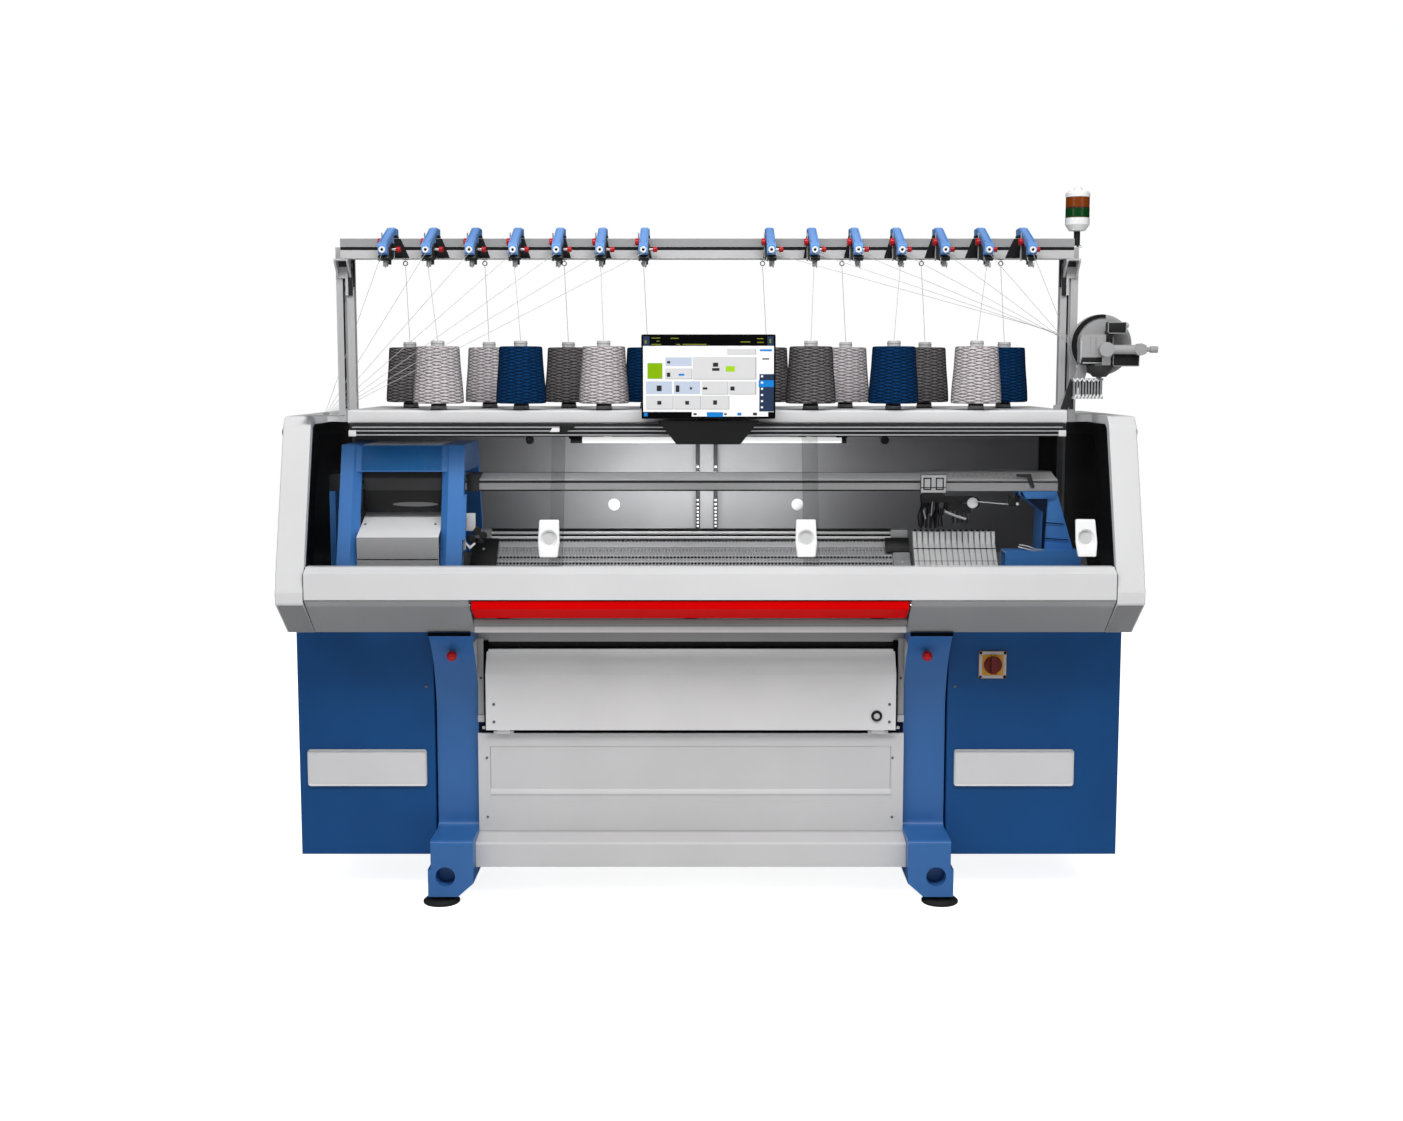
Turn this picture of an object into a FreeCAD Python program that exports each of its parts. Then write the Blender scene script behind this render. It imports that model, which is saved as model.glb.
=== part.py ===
"""Industrial flat knitting machine with its yarn creel, in millimetres, +Z up.

The origin is on the floor under the middle of the whole machine. X runs along the needle beds, and the
operator stands on the -Y side. Depths are measured backwards from the nose, the foremost line of the hood,
so most outlines are lists of (depth, height). Two centre lines are used: the needle beds' and the creel's.
"""

import FreeCAD, Part
import math
import os

V = FreeCAD.Vector
X_AXIS, Y_AXIS, Z_AXIS = V(1, 0, 0), V(0, 1, 0), V(0, 0, 1)

# ---- driving dimensions -------------------------------------------------------------------------------------
NOSE_Y = -445.0          # plane of the nose
BED_X = -88.0           # centre line of the needle beds and legs
CREEL_X = BED_X + 50.5   # centre line of the creel, table and monitor
SEAT = 0.3               # gap between separate pieces that rest on each other
RUN = 0.05               # radial running clearance of pins and shafts
SHEET = 3.0              # sheet metal of covers

BED_HALF = 635.0         # half the needle bed's working length
BED_DEPTH = 185.0        # needle bed across the slope
BED_THICK = 24.0
RIDGE_Z = 1083.0         # where the two beds meet
RIDGE_D = 437.0          # depth of the fabric gap between the beds
FABRIC_GAP = 12.0
GROOVE_PITCH = 15.875    # needle groove blocks, a coarse stand-in for the true gauge
GROOVE_WIDTH = 5.0
GROOVE_DEPTH = 4.0
STRIP_AT = (63.0, 88.0)  # longitudinal grooves down the slope

LEG_X = 727.0            # centre of each leg from the bed's centre line
LEG_WIDTH = 130.0
LEG_TOP = 837.0
LEG_FACE_D = 285.0       # straight part of a leg's front face
LEG_REAR_D = 810.0
TOE_D = 110.0
TOE_TOP = 200.0
SOLE_Z = 25.0            # underside of a leg
FOOT_PLATE = 9.0         # thicker outer cheek near the floor
FOOT_PLATE_TOP = 111.0
FOOT_R = 56.0
FOOT_THICK = 15.0
FOOT_X = 764.0
FOOT_D = (140.0, 752.0)
STUD_R = 10.0
STUD_TOP = 50.0
LIFT_HOLE_R = 30.0
LIFT_HOLE_DEPTH = 60.0
LIFT_HOLE_Z = 88.0

CABINET_D = 270.0
CABINET_REAR_D = 800.0
CABINET_Z = 113.0
CABINET_LEFT = -1221.0
CABINET_RIGHT = 1333.0
CABINET_SLIT = 5.0

HOOD_LEFT = -1217.0      # outer faces of the end covers, from the bed's centre line
HOOD_RIGHT = 1333.0
HOOD_BAND = 83.0         # width of an end cover's front band
HOOD_RECESS = 26.0       # depth of the inner side behind the band
HOOD_RIM = 24.0
HOOD_TOP = 1485.0
HOOD_REAR_D = 890.0
HOOD_JOINT = 3.0         # shadow gap between an end cover and its neighbours

BAR_TOP = 1047.0         # front cover bar
BAR_BOTTOM = 954.0
BAR_FACE_TOP = 1030.0
BAR_CHAMFER_D = 34.0
BAR_REAR_D = 72.0

START_D, START_Z = 50.0, 935.0   # axis of the start bar
START_HALF = 641.0
START_JOURNAL_R = 6.0
APRON_INNER = 649.5

WALL_D = 797.0           # rear wall
TABLE_D = 180.0
TABLE_TOP = 1503.0
TABLE_BOTTOM = 1463.0
TABLE_HALF = 1086.0
TABLE_NOTCH = 9.0        # the front corners end this much short, as far back as the uprights
TRACK_D = 158.0
TRACK_REAR_D = 200.0
TRACK_BOTTOM = 1436.5
DOOR_SLOPE = 130.0 / 383.0   # backward lean of the sliding doors
DOOR_THICK = 4.0
DOOR_BOTTOM = BAR_TOP + 3.0
DOOR_TOP = 1432.0
DOOR_D = (38.0, 48.0, 58.0)
DOOR_SPANS = ((-1112.0, -374.0), (-416.0, 381.0), (334.0, 1212.0))
HANDLE_X = (-417.0, 342.0, 1171.0)
HANDLE_Z = 1129.0

PROFILE = 60.0           # side of the rail's slotted profile
UPRIGHT_WIDE, UPRIGHT_DEEP = 55.0, 30.0
UPRIGHT_HALF = TABLE_HALF + SEAT + UPRIGHT_WIDE / 2   # uprights from the creel's centre line
UPRIGHT_D = 375.0
RAIL_D = 330.0
RAIL_TOP = 2019.0
UPRIGHT_TOP = 1997.0
UNIT_FIRST = 190.0
UNIT_PITCH = 129.0
UNITS_PER_SIDE = 7
UNIT_WIDTH = 26.0
RING_D, RING_Z, RING_R = 178.0, 1977.0, 9.0     # eyelet on each unit's nose
ARM_D, ARM_Z = 221.5, 1930.0                    # lower end of each stop arm
EYE_Z, EYE_R = 1946.0, 8.0                      # eyes under the rail
EYE_ROW = (38.0, 181.5, 242.5, 4)   # middle from the bed's centre line, first, pitch, count per side
PIN_R = 1.5

CONE_R, CONE_TOP_R, CONE_HEIGHT = 76.0, 65.0, 172.0
CONE_Z = TABLE_TOP + 18.0
TUBE_R, TUBE_WALL, TUBE_OUT = 20.0, 3.0, 18.0
CONE_BACK = (187.5, 250.0, 4, 475.0)     # first, pitch, count per side, depth
CONE_FRONT = (312.5, 250.0, 3, 234.0)

CARRIAGE_LEFT = -1068.0  # carriage at home
CARRIAGE_RIGHT = -691.0
SIDE_LEFT_WIDTH = 61.0
SIDE_RIGHT_WIDTH = 69.0
ARCH_TOP = 1396.0
ARCH_UNDER = 1314.0
ARCH_D = 280.0           # depth of the arch's front upper corner
ARCH_LEAN = 130.0 / 396.0
ARCH_LEG = 34.0
LEG_FACET = 22.0         # bevel on the legs' inner front edges
SHOE_BOTTOM, SHOE_TOP = 884.0, 920.0
RAIL_R = 12.0
RAIL_Z = 902.0
RAIL_FRONT_D = 236.0
RAIL_LEFT, RAIL_RIGHT = -1112.0, 1232.0
RAIL_CLEAR = 0.3
CAM_GAP = 24.0           # running gap of the cam plates above the beds
CAM_THICK = 12.0
CAM_FROM, CAM_TO = 62.0, 178.0   # their extent down the slope

BEAM_D = 305.0
BEAM_Z = 1252.0
BEAM_LEFT, BEAM_RIGHT = -1114.0, 1132.0

ROLLER_D, ROLLER_Z, ROLLER_R = 330.0, 778.0, 28.0
ROLLER_JOURNAL_R = 10.0
COVER_HALF = 633.0
COVER_D = 235.0
COVER_BOTTOM = 516.0
COVER_KNEE = 692.0
COVER_TOP = 762.0
COVER_TOP_D = 280.0
HINGE_D, HINGE_Z = 248.0, 508.0
HINGE_R, HINGE_PIN_R = 6.0, 3.0

MONITOR_HALF, MONITOR_BOTTOM, MONITOR_TOP = 198.0, 1479.0, 1727.0
MONITOR_D, MONITOR_THICK = 118.0, 32.0
MONITOR_OUT = 3.0        # its middle from the creel's
TILT_D, TILT_Z = 167.0, 1603.0
TILT_R, TILT_PIN_R = 9.0, 3.5

DISC_OUT = 113.5         # friction feed disc: its axis beyond the table's end
DISC_Z, DISC_D = TABLE_TOP + 196.0, 283.0
DISC_R, DISC_THICK = 92.0, 34.0
DISC_AXLE_R = 8.0

TOWER_OUT, TOWER_D = 23.0, 375.0     # signal tower beyond the right upright's middle
TOWER_R = 37.0

SWITCH = (892.0, 977.0, 673.0, 758.0)    # left, right, bottom, top
SWITCH_THICK = 6.0
KNOB_R = 27.0
BUTTON_X = (-728.0, 721.0)
BUTTON_Z = 757.0
BUTTON_R, BUTTON_STEM_R = 16.0, 7.0
BUTTON_REACH = 32.0      # ball's centre in front of the leg
BUTTON_TRAVEL = 6.0

nodes = {}


# ---- small tools --------------------------------------------------------------------------------------------
def point(x, d, z):
    """A point given by its distance from the bed's centre line, its depth and its height."""
    return V(BED_X + x, NOSE_Y + d, z)


def side_face(outline, x=0.0):
    """A flat face in a plane square to X, from (depth, height) corners."""
    return Part.Face(Part.makePolygon([point(x, d, z) for d, z in outline + outline[:1]]))


def along_x(outline, x0, x1):
    """A (depth, height) outline drawn out along X."""
    return side_face(outline, x0).extrude(V(x1 - x0, 0, 0))


def along_y(outline, d0, d1):
    """An (x, height) outline drawn out backwards."""
    face = Part.Face(Part.makePolygon([point(x, d0, z) for x, z in outline + outline[:1]]))
    return face.extrude(V(0, d1 - d0, 0))


def along_z(outline, z0, z1):
    """An (x, depth) outline drawn out upwards."""
    face = Part.Face(Part.makePolygon([point(x, d, z0) for x, d in outline + outline[:1]]))
    return face.extrude(V(0, 0, z1 - z0))


def block(x0, x1, d0, d1, z0, z1):
    return Part.makeBox(x1 - x0, d1 - d0, z1 - z0, point(x0, d0, z0))


def rod(radius, x, d, z, axis, length):
    """A cylinder that starts at a point and runs along an axis."""
    return Part.makeCylinder(radius, length, point(x, d, z), axis)


def folded(outline, thickness, x0, x1):
    """Sheet metal folded along X: the outline is its outer side, and the sheet lies to its right."""
    inner = []
    count = len(outline)
    for i, (d, z) in enumerate(outline):
        turns = []
        for j in (i - 1, i):
            if 0 <= j < count - 1:
                run = (outline[j + 1][0] - outline[j][0], outline[j + 1][1] - outline[j][1])
                length = math.hypot(*run)
                turns.append((run[1] / length, -run[0] / length))
        n = (sum(t[0] for t in turns), sum(t[1] for t in turns))
        size = math.hypot(*n)
        n = (n[0] / size, n[1] / size)
        reach = thickness / (n[0] * turns[0][0] + n[1] * turns[0][1])
        inner.append((d + n[0] * reach, z + n[1] * reach))
    return along_x(outline + inner[::-1], x0, x1)


def turned(profile, x, d, z, axis):
    """A solid of revolution from (radius, height) corners, with its axis through the point."""
    corners = [V(r, 0, h) for r, h in profile + profile[:1]]
    solid = Part.Face(Part.makePolygon(corners)).revolve(V(0, 0, 0), Z_AXIS, 360)
    solid.Placement = FreeCAD.Placement(point(x, d, z), FreeCAD.Rotation(Z_AXIS, axis))
    return solid


def rounded(shape, radius, keep):
    """Rounds the edges that a test on their middle point and direction picks."""
    edges = []
    for edge in shape.Edges:
        if edge.Curve.TypeId != "Part::GeomLine":
            continue
        middle = edge.CenterOfMass - point(0, 0, 0)
        way = edge.tangentAt(edge.FirstParameter)
        if keep(middle, way):
            edges.append(edge)
    return shape.makeFillet(radius, edges) if edges else shape


def is_along(way, axis):
    return abs(way.dot(axis)) > 0.999


def slotted_profile(length, wide, deep):
    """Construction profile with a slot in each side, along Z from the origin."""
    mouth, depth = 5.0, 9.0
    outline = []
    for turn in range(4):
        a = math.radians(90 * turn)
        half, side = (wide / 2, deep / 2) if turn % 2 == 0 else (deep / 2, wide / 2)
        for u, v in ((half, -side), (half, -mouth), (half - depth, -mouth), (half - depth, mouth), (half, mouth)):
            outline.append(V(u * math.cos(a) - v * math.sin(a), u * math.sin(a) + v * math.cos(a), 0))
    return Part.Face(Part.makePolygon(outline + outline[:1])).extrude(V(0, 0, length))


def fuse(first, *others):
    return first.multiFuse([o for o in others]).removeSplitter()


def cut(body, *tools):
    return body.cut(Part.makeCompound(list(tools))).removeSplitter()


def add(name, *solids):
    """Stores a node: one solid, or a group of separate like solids."""
    loose = [s for shape in solids for s in shape.Solids]
    nodes[name] = loose[0] if len(loose) == 1 else Part.makeCompound(loose)


def creel(x):
    """A place from the creel's centre line, given from the bed's centre line."""
    return CREEL_X - BED_X + x


def slope_point(s, t, front=True):
    """Depth and height at s down a bed's slope and t above its surface."""
    k = math.sqrt(0.5)
    ridge = RIDGE_D - FABRIC_GAP / 2
    d, z = ridge - k * (s + t), RIDGE_Z - k * (s - t)
    return (d, z) if front else (2 * RIDGE_D - d, z)


def mirrored(outline):
    """The rear copy of a front outline, about the fabric gap."""
    return [(2 * RIDGE_D - d, z) for d, z in outline]


# ---- base ---------------------------------------------------------------------------------------------------
def leg_face_depth(z):
    """Depth of a leg's curved front face at a height."""
    z0, top_d = 550.0, 130.0
    rise, run = LEG_TOP - z0, LEG_FACE_D - top_d
    radius = (rise * rise + run * run) / (2 * run)
    if z <= z0:
        return LEG_FACE_D
    return LEG_FACE_D - radius + math.sqrt(radius * radius - (z - z0) ** 2)


def leg(side):
    """Side frame: curved front, a toe in front near the floor and an arch between its two feet."""
    x0, x1 = side * LEG_X - LEG_WIDTH / 2, side * LEG_X + LEG_WIDTH / 2
    arch_z, toe_back, heel = 104.0, 262.0, 700.0
    p = [point(x0, d, z) for d, z in (
        (LEG_FACE_D, TOE_TOP), (LEG_FACE_D, 550.0), (leg_face_depth(LEG_TOP), LEG_TOP), (LEG_REAR_D, LEG_TOP),
        (LEG_REAR_D, SOLE_Z), (heel, SOLE_Z), (heel - 60, arch_z), (toe_back + 60, arch_z), (toe_back, SOLE_Z),
        (TOE_D, SOLE_Z), (TOE_D, TOE_TOP))]
    curve = Part.Arc(p[1], point(x0, leg_face_depth(710.0), 710.0), p[2]).toShape()
    lines = [Part.LineSegment(a, b).toShape() for a, b in zip(p[2:], p[3:] + p[:1])]
    face = Part.Face(Part.Wire([Part.LineSegment(p[0], p[1]).toShape(), curve] + lines))
    body = face.extrude(V(LEG_WIDTH, 0, 0))
    body = rounded(body, 14.0, lambda m, w: is_along(w, X_AXIS) and m.z > 199 and m.y < TOE_D + 1)
    body = rounded(body, 22.0, lambda m, w: is_along(w, X_AXIS) and abs(m.y - LEG_FACE_D) < 1 and m.z < 201)
    outer = side * (LEG_X + LEG_WIDTH / 2)
    cheek = sorted((outer, outer + side * FOOT_PLATE))
    body = fuse(body, block(cheek[0], cheek[1], TOE_D, toe_back, SOLE_Z, FOOT_PLATE_TOP),
                block(cheek[0], cheek[1], heel, LEG_REAR_D, SOLE_Z, FOOT_PLATE_TOP))
    inner = side * (LEG_X - LEG_WIDTH / 2)
    wedge = [(inner, SOLE_Z), (inner + side * 49, SOLE_Z), (inner, SOLE_Z + 43)]
    wedge = [(x + side * -1 * (x == inner), z - (z == SOLE_Z)) for x, z in wedge]
    hole_x = side * (FOOT_X - 16)
    tools = [along_y(wedge, TOE_D - 1, LEG_REAR_D + 1),
             rod(LIFT_HOLE_R, hole_x, TOE_D - 1, LIFT_HOLE_Z, Y_AXIS, LIFT_HOLE_DEPTH + 1),
             rod(ROLLER_JOURNAL_R + RUN, inner, ROLLER_D, ROLLER_Z, X_AXIS * side, 14.0),
             rod(BUTTON_STEM_R + RUN, BUTTON_X[side > 0], leg_face_depth(BUTTON_Z) - 20, BUTTON_Z, Y_AXIS, 66.0)]
    tools += [rod(STUD_R + RUN, side * FOOT_X, d, SOLE_Z - 1, Z_AXIS, STUD_TOP - SOLE_Z + 2) for d in FOOT_D]
    return cut(body, *tools)


def make_base():
    add("left_leg", leg(-1))
    add("right_leg", leg(1))
    pad = [(0, 0), (FOOT_R - 3, 0), (FOOT_R, 3), (FOOT_R, FOOT_THICK - 7), (FOOT_R - 8, FOOT_THICK),
           (17, FOOT_THICK), (17, SOLE_Z - SEAT), (STUD_R, SOLE_Z - SEAT), (STUD_R, STUD_TOP), (0, STUD_TOP)]
    add("levelling_feet", *[turned(pad, s * FOOT_X, d, 0, Z_AXIS) for s in (-1, 1) for d in FOOT_D])
    half = LEG_X - LEG_WIDTH / 2 - SEAT
    front = folded([(215.0, 101.0), (170.0, 101.0), (170.0, 172.0), (176.0, 178.0), (272.0, 190.0)], SHEET,
                   -half, half)
    rear = cut(block(-half, half, 700, 780, 104, 164), block(-half - 1, half + 1, 704, 776, 108, 160))
    add("lower_crossbars", front, rear)


def cabinet(x_outer, x_inner, side):
    """Sheet cabinet with rounded front edges, a recessed head band and spacers to the leg."""
    x0, x1 = sorted((x_outer, x_inner))
    top = LEG_TOP - SEAT
    body = block(x0, x1, CABINET_D, CABINET_REAR_D, CABINET_Z, top)
    body = rounded(body, 4.0, lambda m, w: is_along(w, Z_AXIS) and m.y < CABINET_D + 1)
    body = cut(body, block(x0 - 1, x1 + 1, CABINET_D - 1, CABINET_D + 6, 826, top + 1))
    vents = [block(x0 + 120 + 60 * k, x0 + 150 + 60 * k, CABINET_REAR_D - 4, CABINET_REAR_D + 1, 560, 740)
             for k in range(4)]
    body = cut(body, *vents)
    pads = [block(*sorted((x_inner - side * 1, x_inner - side * (CABINET_SLIT - SEAT))), 320, 380, z, z + 70)
            for z in (240.0, 470.0, 700.0)]
    return fuse(body, *pads)


def make_cabinets():
    inner = LEG_X + LEG_WIDTH / 2 + CABINET_SLIT
    add("left_cabinet", cabinet(CABINET_LEFT, -inner, -1))
    add("right_cabinet", cabinet(CABINET_RIGHT, inner, 1))
    left, right, low, high = SWITCH
    face_d = CABINET_D - SEAT
    frame = block(left, right, face_d - SWITCH_THICK, face_d, low, high)
    frame = rounded(frame, 5.0, lambda m, w: is_along(w, Y_AXIS))
    x, z = (left + right) / 2, (low + high) / 2
    spindle_r = 5.0
    frame = cut(frame, rod(spindle_r + RUN, x, face_d - SWITCH_THICK - 1, z, Y_AXIS, SWITCH_THICK + 2))
    add("switch_frame", frame)
    knob_d = face_d - SWITCH_THICK - SEAT
    knob = turned([(0, 0), (KNOB_R, 0), (KNOB_R, 8), (KNOB_R - 3, 11), (0, 11)], x, knob_d, z, V(0, -1, 0))
    grip = along_y([(x - 8, z - KNOB_R + 2), (x + 8, z - KNOB_R + 2), (x + 8, z + KNOB_R - 2),
                    (x, z + KNOB_R + 3), (x - 8, z + KNOB_R - 2)], knob_d - 28, knob_d - 10)
    add("switch_knob", fuse(knob, grip, rod(spindle_r, x, knob_d - 1, z, Y_AXIS, SWITCH_THICK)))


def make_stop_buttons():
    for name, x in zip(("left_stop_button", "right_stop_button"), BUTTON_X):
        surface = leg_face_depth(BUTTON_Z)
        ball = Part.makeSphere(BUTTON_R, point(x, surface - BUTTON_REACH, BUTTON_Z))
        stem = rod(BUTTON_STEM_R, x, surface - BUTTON_REACH, BUTTON_Z, Y_AXIS, BUTTON_REACH + 36.0)
        add(name, fuse(ball, stem))


# ---- hood ---------------------------------------------------------------------------------------------------
def hood_outline(inset=0.0):
    """Side view of an end cover as (depth, height) corners, drawn in by an inset."""
    i = inset
    return [(140 + 0.9 * i, 837 + i), (i, 940 + 0.4 * i), (i, 975), (160 + 1.1 * i, 1459 - 0.4 * i),
            (186 + i, HOOD_TOP - i), (HOOD_REAR_D - i, HOOD_TOP - i), (HOOD_REAR_D - i, 837 + i)]


def end_cover(x_outer, side):
    """Hood end: a thick outer wall with a rim that wraps its front, top and underside."""
    x_inner = x_outer - side * HOOD_BAND
    x0, x1 = sorted((x_outer, x_inner))
    body = along_x(hood_outline(), x0, x1)
    body = rounded(body, 12.0, lambda m, w: is_along(w, X_AXIS) and m.z > 900 and m.y < 300)
    outer_edge = lambda m, w: abs(m.x - x_outer) < 0.5 and m.y < 500 and m.z > 838 and not is_along(w, X_AXIS)
    body = rounded(body, 5.0, outer_edge)
    pocket = sorted((x_inner + side * -1, x_inner + side * HOOD_RECESS))
    body = cut(body, along_x(hood_outline(HOOD_RIM), *pocket))
    deck_gap = TABLE_HALF + SEAT
    deck_end = creel(side * deck_gap)
    deck = block(*sorted((x_inner + side * 1, deck_end)), UPRIGHT_D + UPRIGHT_DEEP / 2 + SEAT, HOOD_REAR_D - 2,
                 TABLE_BOTTOM, HOOD_TOP)
    knob = turned([(0, -1), (17, -1), (17, 3), (14, 9), (8, 12), (0, 12)], x_outer, 205, 1436, X_AXIS * side)
    return fuse(body, deck, knob)


def make_hood():
    add("left_end_cover", end_cover(HOOD_LEFT, -1))
    add("right_end_cover", end_cover(HOOD_RIGHT, 1))
    lining = hood_outline(HOOD_RIM + 1)
    left_face = HOOD_LEFT + HOOD_BAND - HOOD_RECESS
    right_face = HOOD_RIGHT - HOOD_BAND + HOOD_RECESS
    add("side_linings", along_x(lining, left_face + SEAT, left_face + SEAT + SHEET),
        along_x(lining, right_face - SEAT - SHEET, right_face - SEAT))
    x0 = HOOD_LEFT + HOOD_BAND + HOOD_JOINT
    x1 = HOOD_RIGHT - HOOD_BAND - HOOD_JOINT
    bar = [(0.0, BAR_BOTTOM), (0.0, BAR_FACE_TOP), (BAR_CHAMFER_D, BAR_TOP), (BAR_REAR_D, BAR_TOP),
           (BAR_REAR_D, 1012 + SEAT)]
    add("front_cover_bar", folded(bar, SHEET, x0, x1))
    apron = [(0.0, BAR_BOTTOM - SHEET), (140.0, LEG_TOP + SEAT), (215.0, LEG_TOP + SEAT)]
    add("front_aprons", folded(apron, -SHEET, x0, -APRON_INNER), folded(apron, -SHEET, APRON_INNER, x1))


def make_start_bar():
    """Red bar along the front that the operator turns to start and stop, on a journal at each end."""
    outline = [(5, 951), (5, 926), (78, 889), (84, 893), (84, 900), (66, 951)]
    bar = rounded(along_x(outline, -START_HALF, START_HALF), 2.0, lambda m, w: is_along(w, X_AXIS) and m.y < 79)
    cheek = 6.0
    journals = [rod(START_JOURNAL_R, s * (START_HALF - 1), START_D, START_Z, X_AXIS * s, cheek + 2)
                for s in (-1, 1)]
    add("start_bar", fuse(bar, *journals))
    x0, x1 = HOOD_LEFT + HOOD_BAND + SEAT, HOOD_RIGHT - HOOD_BAND - SEAT
    beam = cut(block(x0, x1, 62, 112, 962, 1012), block(x0 - 1, x1 + 1, 65, 109, 965, 1009))
    plates = []
    for s in (-1, 1):
        px = sorted((s * (START_HALF + 1), s * (START_HALF + 1 + cheek)))
        plate = along_x([(30, 952), (30, 915), (80, 900), (112, 900), (112, 963), (62, 963)], *px)
        plates.append(cut(plate, rod(START_JOURNAL_R + RUN, px[0] - 1, START_D, START_Z, X_AXIS, cheek + 2)))
    hangers = [along_x([(111, 1000), (119, 1000), (119, 845 + SEAT), (108, 845 + SEAT), (108, 950)], x - 20, x + 20)
               for x in (-560.0, 0.0, 560.0)]
    add("front_beam", fuse(beam, *plates, *hangers))
    lip = [(92.0, 886.0), (86.0, 884.0), (86.0, 869.0), (100.0, 866.0), (100.0, 842.0), (130.0, 842.0)]
    add("lip_rail", folded(lip, -SHEET, -START_HALF - 5, START_HALF + 5))


# ---- take-down ----------------------------------------------------------------------------------------------
def make_take_down():
    half = LEG_X - LEG_WIDTH / 2 - SEAT
    carrier_d = 290.0
    add("inner_fascia", block(-half, half, carrier_d - SEAT - SHEET, carrier_d - SEAT, 785, RAIL_Z - 4 - SEAT))
    reach = 12.0
    grip = [(0, -half - reach), (ROLLER_JOURNAL_R, -half - reach), (ROLLER_JOURNAL_R, -COVER_HALF),
            (ROLLER_R, -COVER_HALF), (ROLLER_R, COVER_HALF), (ROLLER_JOURNAL_R, COVER_HALF),
            (ROLLER_JOURNAL_R, half + reach), (0, half + reach)]
    roller = turned(grip, 0, ROLLER_D, ROLLER_Z, X_AXIS)
    ring = [(ROLLER_R - 2, -6), (ROLLER_R + 3, -6), (ROLLER_R + 3, 6), (ROLLER_R - 2, 6)]
    rings = [turned(ring, -600 + 60 * k, ROLLER_D, ROLLER_Z, X_AXIS) for k in range(21)]
    add("takedown_roller", fuse(roller, *rings))
    outline = [(HINGE_D - 2, COVER_BOTTOM), (COVER_D, COVER_BOTTOM), (COVER_D, COVER_KNEE),
               (COVER_TOP_D, COVER_TOP), (COVER_TOP_D + 12, COVER_TOP)]
    cover = folded(outline, SHEET, -COVER_HALF, COVER_HALF)
    knuckle_half, knuckle_x = 20.0, 580.0
    knuckles = []
    for s in (-1, 1):
        x = s * knuckle_x
        barrel = rod(HINGE_R, x - knuckle_half, HINGE_D, HINGE_Z, X_AXIS, 2 * knuckle_half)
        web = along_x([(HINGE_D - 4, HINGE_Z), (HINGE_D + 2, HINGE_Z), (HINGE_D - 2, COVER_BOTTOM + 1),
                       (HINGE_D - 6, COVER_BOTTOM + 1)], x - knuckle_half, x + knuckle_half)
        knuckles += [barrel, web]
    bores = [rod(HINGE_PIN_R + RUN, s * knuckle_x - 30, HINGE_D, HINGE_Z, X_AXIS, 60) for s in (-1, 1)]
    lock_x, lock_z, lock_r = 574.0, 561.0, 14.0
    lock_hole = rod(lock_r - 4, lock_x, COVER_D - 5, lock_z, Y_AXIS, 12)
    add("takedown_cover", cut(fuse(cover, *knuckles), *bores, lock_hole))
    lock = turned([(0, 0), (lock_r + 3, 0), (lock_r + 3, 4), (lock_r, 7), (7, 7), (6, 5), (0, 5)], lock_x,
                  COVER_D - SEAT, lock_z, V(0, -1, 0))
    add("takedown_lock", fuse(lock, rod(lock_r - 5, lock_x, COVER_D - 1, lock_z, Y_AXIS, 20)))
    panel_d, panel_top = 260.0, 501.0
    panel = block(-half, half, panel_d, panel_d + 8, 200, panel_top)
    panel = cut(panel, block(-625, 625, panel_d - 1, panel_d + 2, 312, 460),
                block(-625, 625, panel_d - 1, panel_d + 2, 284, 306))
    foot = block(-half, half, panel_d, panel_d + 8, 190 + SEAT, 201)
    lugs = []
    for s in (-1, 1):
        for e in (-1, 1):
            x = s * knuckle_x + e * (knuckle_half + 5.5)
            lug = along_x([(panel_d + 7, 490), (panel_d + 1, 490), (panel_d + 1, panel_top), (HINGE_D - 4, HINGE_Z - 5),
                           (HINGE_D - 4, HINGE_Z + 4), (HINGE_D + 5, HINGE_Z + 4), (panel_d + 7, panel_top)], x - 5, x + 5)
            lugs.append(lug)
        lugs.append(rod(HINGE_PIN_R, s * knuckle_x - 27, HINGE_D, HINGE_Z, X_AXIS, 54))
    add("lower_panel", fuse(panel, foot, *lugs))


# ---- knitting zone ------------------------------------------------------------------------------------------
def needle_bed(front):
    """Steel bed: needle grooves run down the slope, and two longitudinal grooves hold the cover strips."""
    def at(s, t):
        return slope_point(s, t, front)
    body = along_x([at(0, 0), at(BED_DEPTH, 0), at(BED_DEPTH, -BED_THICK), at(BED_THICK, -BED_THICK)],
                   -BED_HALF, BED_HALF)
    count = int(2 * BED_HALF / GROOVE_PITCH)
    start = -GROOVE_PITCH * (count - 1) / 2
    tools = []
    for k in range(count):
        x = start + k * GROOVE_PITCH
        tools.append(along_x([at(-2, 1), at(BED_DEPTH - 30, 1), at(BED_DEPTH - 30, -GROOVE_DEPTH),
                              at(-2, -GROOVE_DEPTH)], x - GROOVE_WIDTH / 2, x + GROOVE_WIDTH / 2))
    body = body.cut(Part.makeCompound(tools))
    strips = [along_x([at(s, 1), at(s + 4, 1), at(s + 4, -GROOVE_DEPTH - 1), at(s, -GROOVE_DEPTH - 1)],
                      -BED_HALF - 1, BED_HALF + 1) for s in STRIP_AT]
    return cut(body, *strips)


def bed_carrier(front):
    """Wedge beam under one bed, along the whole machine."""
    ridge = slope_point(BED_THICK, -BED_THICK)
    low = slope_point(BED_DEPTH, -BED_THICK)
    outline = [(290, LEG_TOP), (290, ridge[1] - (ridge[0] - 290)), ridge, (ridge[0], LEG_TOP)]
    return along_x(outline if front else mirrored(outline), HOOD_LEFT + HOOD_BAND + SEAT,
                   HOOD_RIGHT - HOOD_BAND - SEAT)


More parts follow.
